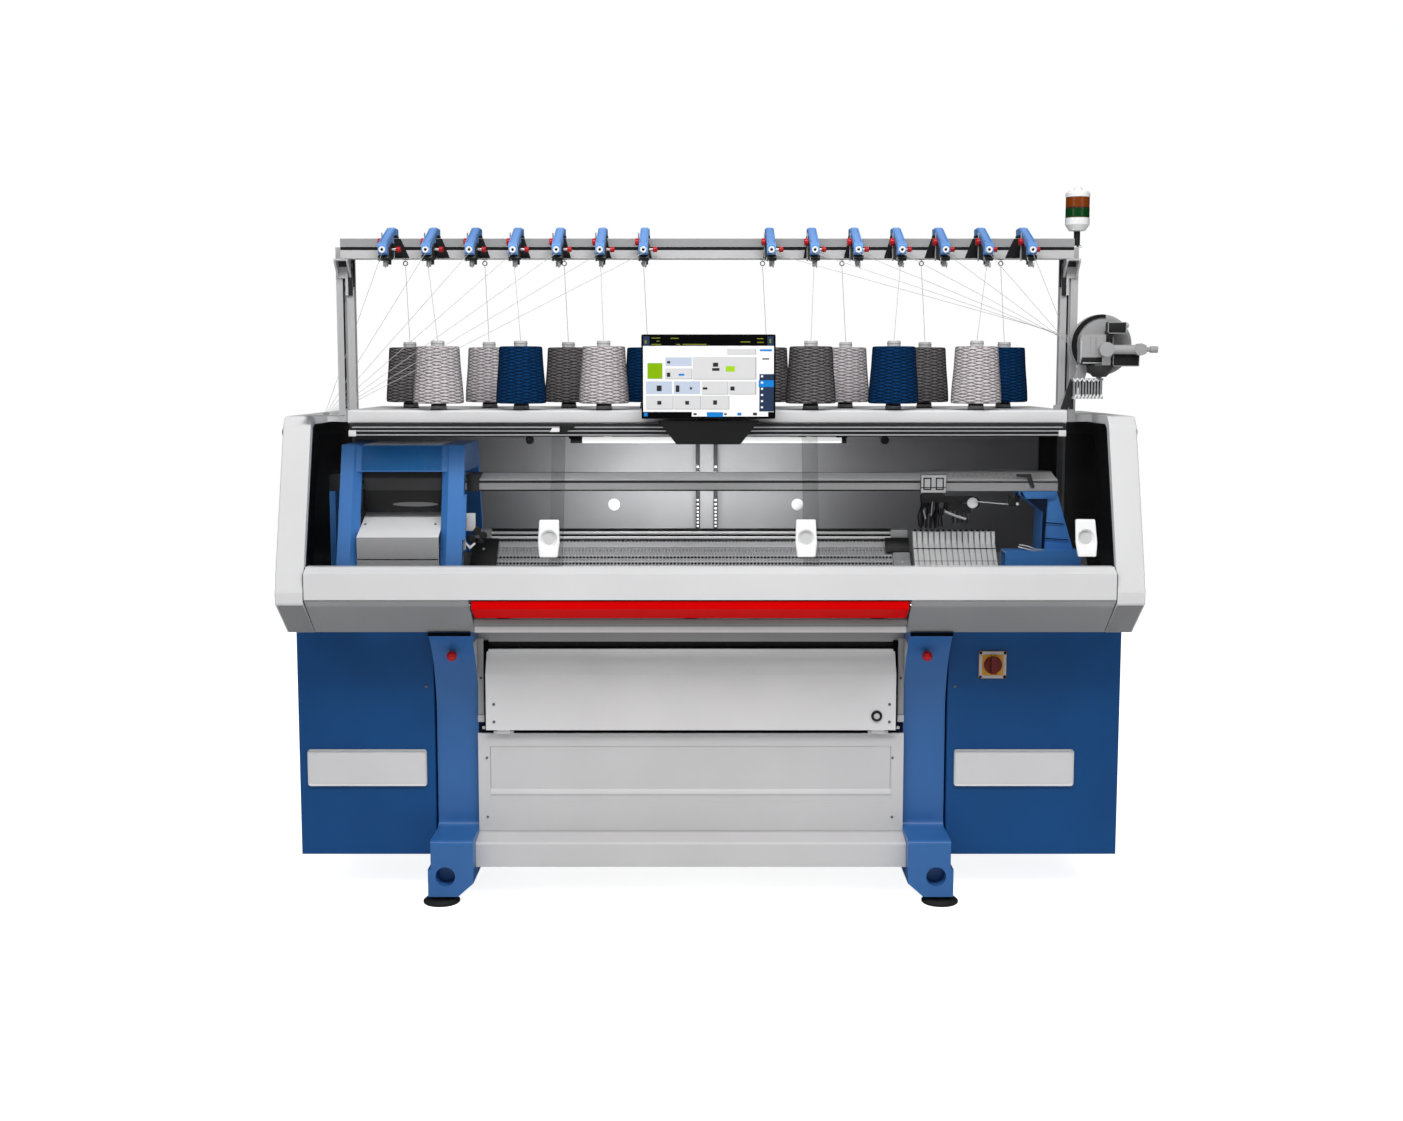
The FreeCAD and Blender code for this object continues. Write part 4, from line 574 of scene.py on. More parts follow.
def needle_beds():
    """Both beds: core with a land, a needle and strips at each pitch, the bright verge and the comb."""
    core = along_bed([(0, -GROOVE), (12, 0), (18, 0), (18.1, -GROOVE), (BED_DEPTH, -GROOVE),
        (BED_DEPTH, -BED_THICK), (BED_THICK, -BED_THICK)], -BED_HALF, BED_HALF)
    low, end = -GROOVE - 0.2, BED_DEPTH - 1
    land = along_bed([(18, low), (18, 0), (end, 0), (end, low)], -BED_HALF + 0.5, -BED_HALF + PITCH * 0.55)
    stem = in_pitch([(-3, -1.2), (-1, 0.6), (2, 0.2), (2, -1.4), (150, -1.4), (150, -3.4), (0, -3.4)], 0.62,
        0.9)
    butts = [in_pitch([(s, -2), (s + 1, 2.2), (s + 5, 2.2), (s + 6, -2)], 0.6, 0.92) for s in (33.0, 62.0,
        92.0)]
    dashes = [along_bed([(s, -0.5), (s, 1.4), (s + 6.5, 1.4), (s + 6.5, -0.5)], -BED_HALF + 0.3,
        -BED_HALF + PITCH * 0.66) for s in (62.0, 87.0)]
    verge = [along_bed([(2, -3), (2, 0.6), (24, 0.6), (24, -3)], -BED_HALF + 1, BED_HALF - 1, 0.3)]
    verge += [along_bed([(s, -0.4), (s, 1.0), (s + 3.6, 1.0), (s + 3.6, -0.4)], -BED_HALF + 1,
        BED_HALF - 1) for s in (57.8, 82.0)]
    tooth = along_bed([(-2, -2.2), (-2, 1.8), (3, 1.8), (3, -2.2)], -BED_HALF + 0.6, -BED_HALF + PITCH * 0.5)
    verge_steel = metal("bright_ground_steel", "#C6C6C7", "#B8B8B9", 0.5, share=0.2)
    for key, piece, material in (("bed", joined([core, repeated(land, NEEDLES, PITCH)]), ground_steel),
            ("needles", repeated(joined([stem] + butts), NEEDLES, PITCH), bright_steel),
            ("verge", joined(verge), verge_steel), ("comb", repeated(tooth, NEEDLES, PITCH), chromed),
            ("strips", repeated(joined(dashes), NEEDLES, PITCH), nylon_black)):
        rear = to_rear(piece)
        for side, half in (("front", piece), ("rear", rear)):
            give(f"{side}_bed_{key}", half, material, "machine", "bed_steel", (side
                + "_needle_bed",) if key == "bed" else ())


needle_beds()


# ---- knitting bay ----
def bay():
    """Track lips and ends, posts on the rear wall and what hangs on it, the lamp's end caps, and wedges and
    corners by the doors.
    """
    (x0, d0, _), (x1, _, _) = span("door_track")
    give("track_lips", [block((x0 + 8, d0 - 1.2, z - 1.7), (x1 - 8, d0 + 0.5, z + 1.7), 0.4) for z in (1453,
        1442, 1430)], bright_steel)
    give("track_ends", [block((x, d0 - 3, 1426), (x + 22, d0 + 6, 1444), 1.0) for x in (x0 - 2, x1 - 20)],
        tube_white)
    middle, front, sill, head = creel(0), span("rear_panels")[1][1] - 20.6, 838, 1462
    give("post_cover", block((middle - 22, front - 0.6, sill), (middle + 22, front, head), 0.2), wall_grey)
    strips, squares = [], []
    for x in (middle - 30, middle + 30):
        strips.append(block((x - 7, front - 1.6, sill), (x + 7, front, head), 0.3))
        squares += [block((x - 3.5, front - 2.2, z - 3.5), (x + 3.5, front - 1.2, z + 3.5), 0) for z in (1300,
            1280, 1188, 1174, *range(1160, 1087, -12))]
    give("post_strips", strips, frame_dark)
    give("post_holes", squares, abs_white)
    plugs = [turned([(0, 3.5), (12, 3.5), (17, 2.5), (20, 0), (20, -2), (0, -2)],
        at(creel(side * 310) - 3.5, front + 17.5, 1171), -Y, 40) for side in (-1, 1)]
    give("wall_plugs", plugs, abs_white)
    (left, _, low), (right, _, _) = span("lamp_bar")
    cap = [(196.4, low - 0.6), (215.6, low - 0.6), (215.6, low + 12), (206, low + 19), (196.4, low + 19)]
    caps = [side_cut(cap, a, b, 1) for a, b in ((left - 0.6, left + 35), (right - 14, right + 0.6))]
    tabs = [front_cut(tab, 198, 203, 1) for tab in ([(left - 6, 1416), (left + 30, 1416), (left + 46, 1440),
        (left - 6, 1440)], [(right - 30, 1420), (right + 4, 1420), (right + 4, 1440), (right - 40, 1440)])]
    give("lamp_ends", caps + tabs, nylon_black)
    pegs = []
    for x in (creel(-592), creel(592)):
        pegs.append(block((x - 7, 750.5, 1392), (x + 7, 762, 1422), 1.5))
        pegs.append(turned([(0, 0), (14, 0), (14, 3), (11, 6), (5, 7), (0, 7)], at(x + 2, 751, 1391), -Y, 28))
    give("wall_pegs", pegs, soft_black)
    give("door_wedges", [front_cut([(-391, 1463), (-343, 1463), (-343, 1455), (-375, 1437), (-391, 1437)], 152,
        157, 0.5), front_cut([(283, 1448), (300, 1448), (348, 1424), (348, 1414), (316, 1414), (283, 1436)],
        201, 206, 0.5)], soft_black)
    give("door_corners", [front_cut([(-412, 1451), (-381, 1451), (-391, 1439), (-420, 1439)], 152, 156.5, 0.5),
        front_cut([(300, 1430), (322, 1430), (330, 1416), (308, 1416)], 199, 201, 0.5)], abs_white)


bay()

# ---- control screen ----
SCREEN = {      # colour: two shades, and left, top, right and bottom of its fields in thousandths and relief step
    "white": ("#EDEDED", "#F2F2F2", (
        (0, 124, 1000, 935, 0), (372, 935, 958, 992, 0),
        *((902, 486 + 76 * k, 918, 510 + 76 * k, 3) for k in range(6)))),
    "navy": ("#22324C", "#2A3A56", ((2, 8, 50, 122, 1), (950, 8, 998, 122, 1), (890, 470, 1000, 930, 1))),
    "olive": ("#6E7420", "#7A8028", (
        (14, 55, 28, 95, 2), (965, 40, 978, 90, 2),
        *((u, v, u + run, v + 12, 0) for u, v, run in (
            (65, 22, 68), (65, 100, 72), (105, 60, 20), (212, 26, 60), (302, 100, 182), (254, 100, 30),
            (745, 70, 74), (870, 30, 50), (872, 76, 50))))),
    "edge": ("#8E8E90", "#989899", (
        (644, 164, 864, 229, 1), (384, 264, 866, 536, 1), (172, 404, 376, 532, 1), (452, 562, 652, 720, 1),
        (662, 562, 866, 720, 1), (26, 740, 232, 904, 1), (240, 740, 442, 904, 1), (448, 740, 660, 904, 1))),
    "button": ("#CFCFD0", "#D6D6D7", (
        (642, 160, 860, 225, 2), (380, 260, 860, 530, 2), (168, 400, 372, 526, 2), (448, 560, 648, 714, 2),
        (658, 560, 860, 714, 2), (22, 736, 228, 898, 2), (236, 736, 438, 898, 2), (444, 736, 656, 898, 2))),
    "pale_blue": ("#B9C3D6", "#C2CBDC", (
        (172, 266, 372, 372, 1), (22, 560, 222, 716, 1), (236, 560, 438, 716, 1))),
    "green": ("#7DA800", "#88B408", ((34, 334, 148, 528, 1),)),
    "bright_blue": ("#0F78C8", "#1A82D2", (
        (884, 546, 1000, 628, 2), (488, 938, 612, 996, 1), (6, 945, 34, 990, 1), (272, 466, 316, 490, 3),
        (892, 166, 985, 190, 1), (722, 945, 752, 980, 1))),
    "lime": ("#9CCB1A", "#A6D424", ((632, 372, 702, 440, 3),)),
    "ink": ("#2A2A2A", "#343434", (
        (534, 330, 574, 380, 3), (528, 395, 584, 430, 3), (182, 452, 208, 505, 3), (184, 310, 208, 340, 2),
        (104, 610, 142, 680, 2), (250, 608, 278, 690, 2), (358, 630, 374, 660, 2), (456, 632, 492, 660, 3),
        (668, 622, 700, 672, 3), (108, 800, 140, 846, 3), (322, 800, 352, 846, 3), (536, 792, 566, 846, 3),
        (912, 275, 964, 292, 1), (385, 950, 410, 975, 1), (620, 952, 640, 975, 1), (842, 945, 872, 978, 1)))}
RELIEF = 0.12       # how far each relief step stands out


def screen():
    """Plain colour fields of the lit display, and the black ring round them."""
    (x0, d0, z0), (x1, _, z1) = span("monitor")
    left, right, top, bottom = x0 + 5, x1 - 5, z1 - 4, z0 + 5
    wide, tall, glass = right - left, top - bottom, d0 - 0.5
    for colour, (light, soft, fields) in SCREEN.items():
        give("screen_" + colour, [block((left + wide * u0 / 1000, glass - RELIEF * (level + 1),
            top - tall * v1 / 1000), (left + wide * u1 / 1000, glass + 0.3, top - tall * v0 / 1000), 0) for u0,
            v0, u1, v1, level in fields], display(colour, light, soft), "monitor", "screen_black")
    a, b, low, high = x0 + 0.5, x1 - 0.5, z0 + 0.5, z1 - 0.5
    ring = front_cut([(a, low), (b, low), (b, high), (a, high)], glass, d0 + 1, 0)
    give("screen_bezel", bevelled(ring, 0.4), coat("black_display_glass", "#0B0B0C", "#070708", 0.12,
        depth_mm=0.002), "monitor", "screen_black")


screen()

# ---- yarn units and signal tower ----
UNITS = [(side, k) for side in (-1, 1) for k in range(7)]
UNIT_XS = [creel(side * (190.0 + 129.0 * k)) for side, k in UNITS]


def rail_bands():
    """The rail's upper flange darkened with painted shade, its pale lower flange and slot line, corner cups, and
    painted shadows of the units on the rail with dark lines at the corners.
    """
    (x0, _, _), (x1, _, high) = span("top_rail")
    a, b, front = x0 + 22.5, x1 - 22.5, 300.0           # the gussets reach 22 past the rail at both ends
    # painted shade: the rail's upper flange gets a darker grey than its lower flange on the same face
    rail_shade = coat("shaded_rail", "#9B9B9C", "#919192", 0.5)
    give("rail_upper", block((a, front - 0.4, high - 24.4), (b, front + 0.4, high - 0.6), 0), rail_shade)
    give("rail_lower", block((a, front - 0.4, high - 59.4), (b, front + 0.4, high - 36), 0), rail_pale)
    give("rail_slot", block((a, front + 3, high - 34.8), (b, front + 3.6, high - 25.2), 0), beam_black)
    painted_shadows_and_lines, cups, straps = [], [], []
    for (side, k), x in zip(UNITS, UNIT_XS):
        # painted shadows: a dark wedge on the rail beside each unit, on its side towards the middle, wider for
        # units further out
        shade = ((14, high - 0.8), (34, high - 0.8), (60, high - 59), (16, high - 59))
        painted_shadows_and_lines.append(front_cut([(x - side * u * (0.35 + 0.11 * k), z) for u, z in shade], front - 0.8,
            front - 0.3, 0))
    for side in (-1, 1):
        cups.append(front_cut([(creel(side * u), z) for u, z in ((1142, 1958), (1080, 1958), (1102, 1937),
            (1134, 1937))], 350, 357, 0.5))
        a, b = sorted((creel(side * 1103), creel(side * 1089.5)))
        straps.append(block((a, 351.4, 1850), (b, 354, 1936), 0.5))
        a, b = sorted((creel(side * 1087.5), creel(side * 1083)))
        painted_shadows_and_lines.append(block((a, 353, 1876), (b, 360.2, 1955), 0))
        middle = creel(side * 1113.8)
        painted_shadows_and_lines.append(block((middle - 7, 359.5, 1504), (middle - 2, 360.4, 1925), 0))
    give("corner_straps", straps, frame_dark)
    give("unit_painted_shadows_and_lines", painted_shadows_and_lines, beam_black)
    give("corner_cups", cups, charcoal)


rail_bands()


def unit_details():
    """What each yarn unit carries besides its body: clamp, tension rod, eyelet, stop hooks, ribs and lid."""
    x = UNIT_XS[0]

    def per_unit(name, pieces, *look):
        give(name, copies(joined(pieces), [((u - x), 0, 0) for u in UNIT_XS[1:]]), *look)

    per_unit("unit_clamps", [side_cut([(212, 1986), (262, 2004), (299.4, 2004), (299.4, 1966), (272, 1953),
        (236, 1950), (214, 1957)], x - 14.5, x + 14.5, 1.5), side_cut([(300, 2020.5), (386, 2020.5),
        (386, 2032), (330, 2032), (300, 2026)], x - 14.5, x + 14.5, 1.0), side_cut([(196, 1962), (208, 1962),
        (214, 1950), (206, 1946), (192, 1953)], x - 16, x + 16, 1), side_cut([(250, 1953), (266, 1953),
        (262, 1938), (254, 1938)], x - 3, x + 12, 1)], nylon_black, "machine", "carrier_black")
    per_unit("unit_steel", [turned([(0, 0), (2.2, 0), (2.2, 84), (0, 84)], at(x - 17, 272, 1950), Z, 16),
        turned([(0, 0), (4.2, 0), (4.2, 15), (0, 15)], at(x + 13.2, 268, 1984), X, 16),
        wire([(x + 6, d, z) for d, z in ((212, 1950), (206, 1934), (196, 1926), (188, 1931), (186, 1940))],
        1.3), wire([(x - 6, 200, 1952), (x - 10, 192, 1944), (x - 14, 186, 1946), (x - 14, 184, 1954)], 1.2)],
        bright_steel, "machine", "bright_steel")
    per_unit("unit_eyelets", [turned([(4.0, 0), (5.5, -2.0), (8.4, -2.2), (9.6, -0.6), (9.6, 4), (4.0, 4)],
        at(x, 173.5, 1977), Y, 28)], abs_white)
    per_unit("unit_plugs", [turned([(0, 0), (3.9, 0), (3.9, 3), (0, 3)], at(x, 174.5, 1977), Y, 20)],
        nylon_black)
    ribs = [side_cut([(200, 2003.5), (330, 2051.8), (330, 2053), (199, 2004.7)], x + s - 1.2, x + s + 1.2,
        0.4) for s in (-9.5, 9.5)]
    lid = side_cut([(338, 2052), (380, 2052), (379, 2055), (340, 2055)], x - 9, x + 9, 1)
    per_unit("unit_ribs", ribs + [lid], abs_blue, "machine", "feeder_blue")


unit_details()


def signal_tower():
    """Green lower lens over the tower's core, and the grooved joints between the lenses."""
    (x0, d0, low), (x1, d1, _) = span("tower_lenses")
    middle, r = at((x0 + x1) / 2, (d0 + d1) / 2, 0), (x1 - x0) / 2
    lower = [(r - 2, low + 0.4), (r + 0.35, low + 2), (r + 0.35, low + 28.5), (r - 2, low + 30.6)]
    give("green_lens", turned(lower, middle, Z, 48), green_lens)
    ring = [(r - 2, low + 29.8), (r + 0.3, low + 29.8), (r + 0.3, low + 31.4), (r - 2, low + 31.4)]
    pole = [(8.5, low - 88), (14.5, low - 88), (14.5, low - 83), (9.6, low - 80.5), (9.6, low - 40),
        (8.5, low - 40)]
    give("tower_darks", [turned(ring, middle, Z, 48), turned(pole, middle)], soft_black)


signal_tower()


# ---- panels, plates and small fasteners ----
def screws(name, places, radius=3.2, material=bright_steel, body="machine", axis=-Y):
    """Round-headed screws with a recess."""
    first, r = Vector(places[0]), radius
    head = turned([(0, 0.8), (r * 0.45, 0.8), (r * 0.5, r * 0.5), (r * 0.8, r * 0.45), (r, 0), (r, -1),
        (0, -1)], at(*first), axis, 16)
    give(name, copies(head, [Vector(p) - first for p in places[1:]]), material, body)


def plates():
    """Bare name plates with rounded corners, flush on the cabinets."""
    for name, x0, x1 in (("left", -1194, -823), ("right", 820, 1193)):
        plate = block((x0, 268.4, 333), (x1, 269.8, 448), 0)
        pick(plate)
        bpy.ops.object.mode_set(mode="EDIT")
        bpy.ops.mesh.select_all(action="DESELECT")
        bpy.ops.object.mode_set(mode="OBJECT")
        for e in plate.data.edges:
            a, b = (plate.data.vertices[v].co for v in e.vertices)
            e.select = abs(a.x - b.x) < 1e-6 and abs(a.z - b.z) < 1e-6
        bpy.ops.object.mode_set(mode="EDIT")
        bpy.ops.mesh.bevel(offset=9 * MM, segments=6, affect="EDGES")
        give(name + "_plate", bevelled(settle(), 0.3, 1), plate_grey)


def leg_face(z):
    """Depth of a leg's front face at a height, straight at the foot and curving forward above."""
    return 285 - 343.2 + math.sqrt(343.2 ** 2 - max(z - 550, 0) ** 2)


def hood_details():
    """Joints and lip strip of the hood, and painted shade over its lip and on its undersides."""
    joints = []
    for x in (-1133.8, 1247.2):
        for outline in ([(2.6, 954), (2.6, 1028), (35, 1044.5), (72, 1044.5), (72, 1036), (30, 1036), (8, 1020),
                (8, 954)], [(4, 949.5), (140, 840.5), (146, 846), (10, 955)]):
            joints.append(side_cut(outline, x, x + 2.6, 0))
    joints.append(block((-1131, 3.2, 951.6), (1247, 4.6, 958), 0))
    give("hood_joints", joints, seam_black)
    give("lip_strip", block((-645.5, 99.3, 842.4), (645.5, 100.2, 860.5), 0.2), panel_grey)
    # painted shade: a grey band above the lip strip
    give("lip_shadow", block((-645.5, 85.4, 869.5), (645.5, 86.2, 884), 0.2), painted_shade_grey)
    # painted shade: grey strips along the end covers' undersides, from the nose down towards the legs
    give("cover_undersides", [side_cut([(3.4, 936.9), (138.6, 837.5), (139.4, 838.4), (4.4, 937.8)], *ends,
        0.1) for ends in ((-1211, -1134.6), (1250.6, 1327))], painted_shade_grey)
    give("apron_bands", [side_cut([(3.0, 948.1), (26, 929.8), (26.5, 930.6), (3.6, 948.9)], *ends,
        0.1) for ends in ((-1130.5, -650), (650, 1246.5))], coat("pale_apron_band", "#A4A4A5", "#9E9E9F", 0.42))
    give("hood_knobs", [turned([(8.2, 11.9), (14.4, 9.6), (17.6, 3.4), (17.6, 0.3), (12, 0.3), (8.2, 5)],
        at(x, 205, 1436), X * side) for x, side in ((-1217, -1), (1333, 1))], soft_black)


def lower_details():
    """Posts, slits, screws and strips between the legs and around the take-down cover."""
    dark, posts, pale, tabs = [block((-640, 270.5, 500), (640, 274, 517), 0)], [], [], []
    for side in (-1, 1):
        def beside(near, far):
            """Two places that far inwards from the leg's inner face, the lower one first."""
            return sorted((side * (662 - near), side * (662 - far)))

        a, b = beside(0.3, 1.6)
        pale.append(side_cut([(leg_face(z) + 3, z) for z in (798, 750, 700, 650, 600, 560)] + [(296, 560),
            (296, 798)], a, b, 0.2))
        a, b = beside(2, 20)
        posts.append(block((a, 262, 559), (b, 272, 798), 0.8))
        tabs.append(block((a - 1, 258, 537), (b + 1, 270, 558), 1.0))
        a, b = beside(20.5, 34)
        dark.append(block((a, 276, 505), (b, 284, 790), 0))
        a, b = beside(0, -130)
        dark.append(block((a + 0.5, 129.3, 826.5), (b - 0.5, 134, 836.5), 0.2))
        tabs.append(block((side * 642 - 5, 250, 516), (side * 642 + 5, 262, 524.5), 1.0))
    give("lower_gaps", dark, seam_black)
    give("leg_linings", pale, carrier_grey)
    give("side_posts", posts, post_grey)
    give("post_feet", tabs, pale_plastic)
    give("panel_band", block((-624.5, 259.5, 306.5), (624.5, 262.5, 324), 0.3), panel_grey)
    # painted light: the take-down cover's sloping top is laid over in a whiter colour than the rest of the cover
    give("cover_slope_painted_light", side_cut([(234.8, 693), (279.5, 761.6), (280.0, 761.2), (235.3, 692.6)], -632, 632, 0),
        abs_white, "takedown_cover")
    give("panel_folds", [block((x0, 261.7, z0), (x1, 262.4, z1), 0) for x0, x1, z0,
        z1 in ((-624, 621, 462, 464), (-625, -623, 326, 500), (620, 622, 326, 500))], post_grey)
    (x0, d0, z0), (x1, _, z1) = span("switch_frame")
    x0, z0, x1, z1, edge = x0 + 1, z0 + 1, x1 - 1, z1 - 1, 8.5
    trim = [block((a, d0 - 0.5, z0), (a + edge, d0 + 0.5, z1), 0) for a in (x0, x1 - edge)]
    trim += [block((x0, d0 - 0.5, a), (x1, d0 + 0.5, a + edge), 0) for a in (z0, z1 - edge)]
    give("switch_trim", trim, coat("switch_surround", "#BDBDC2", "#B2B2B8", 0.4))
    screws("post_screws", [(-650.4, 261.6, 674.8), (650.4, 261.6, 674.8)], 3.6, soft_black)
    screws("panel_screws", [(x, 259.6, z) for x in (-635, 628) for z in (423, 235)], 4.0, seam_grey)
    screws("cover_screws", [(x, 234.6, z) for x in (-608.5, 613.5) for z in (597, 542)], 4.6, seam_grey,
        "takedown_cover")
    screws("cabinet_screws", [(-822, 269.6, 646.5), (820, 269.6, 646.5)], 5.0, seam_grey)
    give("lock_core", turned([(0, 8.5), (8, 8.5), (9.2, 7.2), (9.2, 5.2), (0, 5.2)], at(574, 235, 561), -Y, 28),
        carrier_grey, "takedown_cover")


def bed_rails():
    """Black backing behind the two bright rods, its edge clips, and the nylon blocks at the beds' ends."""
    half = BED_HALF + 4
    give("rod_backing", [block((-half, *low), (half, *high), 0) for low, high in (((477, 1078), (479, 1110)),
        ((447, 1077), (449, 1086)), ((462.2, 1096.5), (464, 1100.5)))], beam_black)
    give("backing_top", block((-half, 475.5, 1108), (half, 477.5, 1120), 0.2), frame_dark)
    clip = block((-half + 20, 474.8, 1115.5), (-half + 70, 476, 1119.5), 0)
    give("backing_clip", repeated(clip, 12, 109), beam_black)
    give("bed_end_blocks", [along_bed([(0, 8.2), (0, 17), (70, 20), (184, 14), (184, 8.2)], -689, -608, 1.5),
        along_bed([(0, 8.2), (0, 20), (30, 22), (52, 12), (52, 8.2)], 612, 688, 1.5)], soft_black)
    give("bed_end_cover", along_bed([(54, 8.2), (54, 12), (184, 12), (184, 8.2)], 640, 687, 1.0), bright_steel)
    screws("bed_end_screws", [(-652, *down_bed(46, 18.5)), (664, *down_bed(92, 12))], 4.4, carrier_grey,
        axis=Vector((0, -1, 1)))


def carriage_details():
    """Plates, seams, screws and inner blocks of the carriage, with painted shade on the arch plate and on the
    box's front and skirt, and a painted gleam on the inner panel.
    """
    left, right = -1007.0, -760.0
    near, far = left + 0.8, right - 0.8

    def bar(z):
        """Depth of the arch's leaning front face at a height."""
        return 259.1 + (z - 1314) * 0.3408

    plate = [(bar(1318) - 1.6, 1318), (bar(1390) - 1.6, 1390), (bar(1390) + 0.4, 1390), (bar(1318) + 0.4, 1318)]
    gleam = [(-846 + 70 * math.cos(a), 1213 + 7 * math.sin(a)) for a in (2 * math.pi * k / 24
        for k in range(24))]
    vee = [(-690, 1103), (-684, 1103), (-672, 1090), (-658, 1101), (-654, 1097), (-672, 1080)]
    # painted shade: the arch plate is a darker blue than the carriage, for the recessed crossbar's shade, and the
    # box's front and skirt are grey shade laid over the white box; painted reflection: the inner gleam is a pale
    # oval on the dark inner panel
    for name, pieces, material in (("arch_plate", side_cut(plate, left + 1, right - 1, 0.4),
            coat("arch_plate_painted_shade_blue", "#2468A6", "#20609C", 0.36, shine=0.12)),
            ("arch_lid", block((left + 3, 300, 1393.1), (right - 3, 560, 1395.6), 0.6), abs_white),
            ("carriage_inner", [block((left + 2, 281, 1190), (right - 2, 286, 1312.5), 0.4),
            side_cut([(214.5, 1086), (283.5, 1296), (286.5, 1296), (286.5, 1086)], -757, -694, 0.5)],
            beam_black), ("inner_band", block((left + 4, 280.2, 1256), (right - 4, 281.4, 1293), 0.4),
            charcoal), ("inner_gleam", front_cut(gleam, 280.2, 281.4, 0), seam_grey),
            ("box_seam", block((near, 169.4, 1052.6), (far, 170.4, 1055.6), 0), seam_black),
            ("box_front", block((near, 169.5, 1056.5), (far, 170.4, 1121), 0), box_shade),
            ("box_skirt", block((near, 169.6, 1013), (far, 170.4, 1052), 0), box_shade)):
        give(name, pieces, material, "carriage")
    screws("box_screws", [(-995.5, 249.6, 1154), (-780.7, 249.6, 1154)], 3.6, soft_black, "carriage",
        Vector((0, -0.361, 0.932)))
    screws("skirt_screws", [(-990.8, 169.4, 1034.7), (-782.4, 169.4, 1034.7)], 2.6, body="carriage")
    give("carriage_strips", [block((-690.8, 206, 1080), (-683, 215, 1164), 0.4),
        block((-690.8, 222, 1136), (-655, 232, 1190), 1.0)], carrier_grey, "carriage")
    give("carriage_gears", [turned([(0, 0), (r - 3, 0), (r, 2), (r, 8), (r - 3, 10), (0, 10)], at(x, 232, z),
        -Y, 24) for x, z, r in ((-652, 1136, 13), (-632, 1122, 12), (-668, 1112, 13), (-640, 1104, 9))],
        soft_black, "carriage")
    give("carriage_vee", front_cut(vee, 214, 218, 0.3), abs_white, "carriage")


def beam_details():
    """Lines and holes of the yarn beam, a white layer of painted light on its sloping top and dark sleeves of
    painted shadow on two stretches of it, its bracket's skin of painted shade and cables, and the carrier's face.
    """
    give("beam_line", block((-1112, 304.95, 1276.8), (707, 305.5, 1283), 0), beam_black)
    give("beam_foot_line", block((-1112, 304.95, 1252.2), (707, 305.5, 1256), 0), seam_black)
    # painted light: the beam's sloping top is laid over in white
    give("beam_top_painted_light", side_cut([(309, 1286.1), (395, 1302.1), (395, 1302.7), (309, 1286.8)], -1066, 1130, 0),
        abs_white)
    # rows of holes: first place, step, count, depth and radius
    rows = ((800, 15, 9, 352, 3.2), (938, 15, 6, 330, 3.2), (800, 22, 11, 378, 4.2))
    give("beam_holes", [turned([(0, 0.6), (r, 0.6), (r, 0), (0, 0)], at(x0 + step * k, d,
        1286.9 + (d - 309) * 0.186), Z, 12) for x0, step, count, d, r in rows for k in range(count)],
        beam_black)
    # painted shadow: dark sleeves over the beam at its left end and on a stretch right of the carriage
    give("beam_painted_shadows", [block((a, 303.9, 1251.4), (b, 432, 1304), 0.6) for a,
        b in ((-1114, -1070), (-690, -652))], charcoal)
    # painted shade: a near-black blue skin over the bracket's web
    skin = [(1082, 1010), (1085, 1189), (1016, 1240), (1016, 1250.5), (1100, 1250.5), (1088, 1010)]
    give("bracket_skin", front_cut(skin, 293.6, 295.2, 0.2), painted_shade_blue)
    flange = [(1020, 1250.5), (1127, 1250.5), (1119, 1229), (1032, 1229)]
    give("bracket_flange", front_cut(flange, 292.2, 294.6, 0.4), coat("flange_blue_enamel", "#3A78BC",
        "#3470B2", 0.36))
    give("bracket_lines", [front_cut([(1087, z), (x, z - 5), (x, z - 8), (1087, z - 3)], 293.8, 295.2, 0) for z,
        x in ((1157, 1150), (1108, 1166))], painted_shade_blue)
    hook = [(1003, 1304.5), (1048, 1304.5), (1060, 1262), (1048, 1262), (1036, 1292), (1003, 1296)]
    give("beam_hook", front_cut(hook, 300.5, 304.5, 0.4), charcoal)
    give("bracket_cables", [wire([(1000, 230, 1086), (1018, 224, 1082), (1040, 226, 1076), (1068, 240, 1075)],
        2.2), wire([(1004, 236, 1092), (1030, 230, 1088), (1052, 236, 1079), (1080, 244, 1075)], 2.0)],
        bright_steel)
    give("carrier_face", block((708.5, 289.4, 1248), (784.5, 291.2, 1302), 0.6), carrier_grey, "yarn_carrier")
    rings = [(x + a, x + b, low, high) for x in (715, 753) for a, b, low, high in ((0, 25, 1256, 1260),
        (0, 25, 1290, 1294), (0, 4, 1256, 1294), (21, 25, 1256, 1294))]
    give("carrier_rings", [block((a, 288.9, low), (b, 290, high), 0) for a, b, low,
        high in rings + [(708.5, 784.5, 1262, 1265)]], charcoal, "yarn_carrier")
    give("carrier_disc", turned([(0, 2), (15, 2), (17, 0.4), (17, 0), (0, 0)], at(876, 342.5, 1212), -Y),
        abs_white, "yarn_carrier")


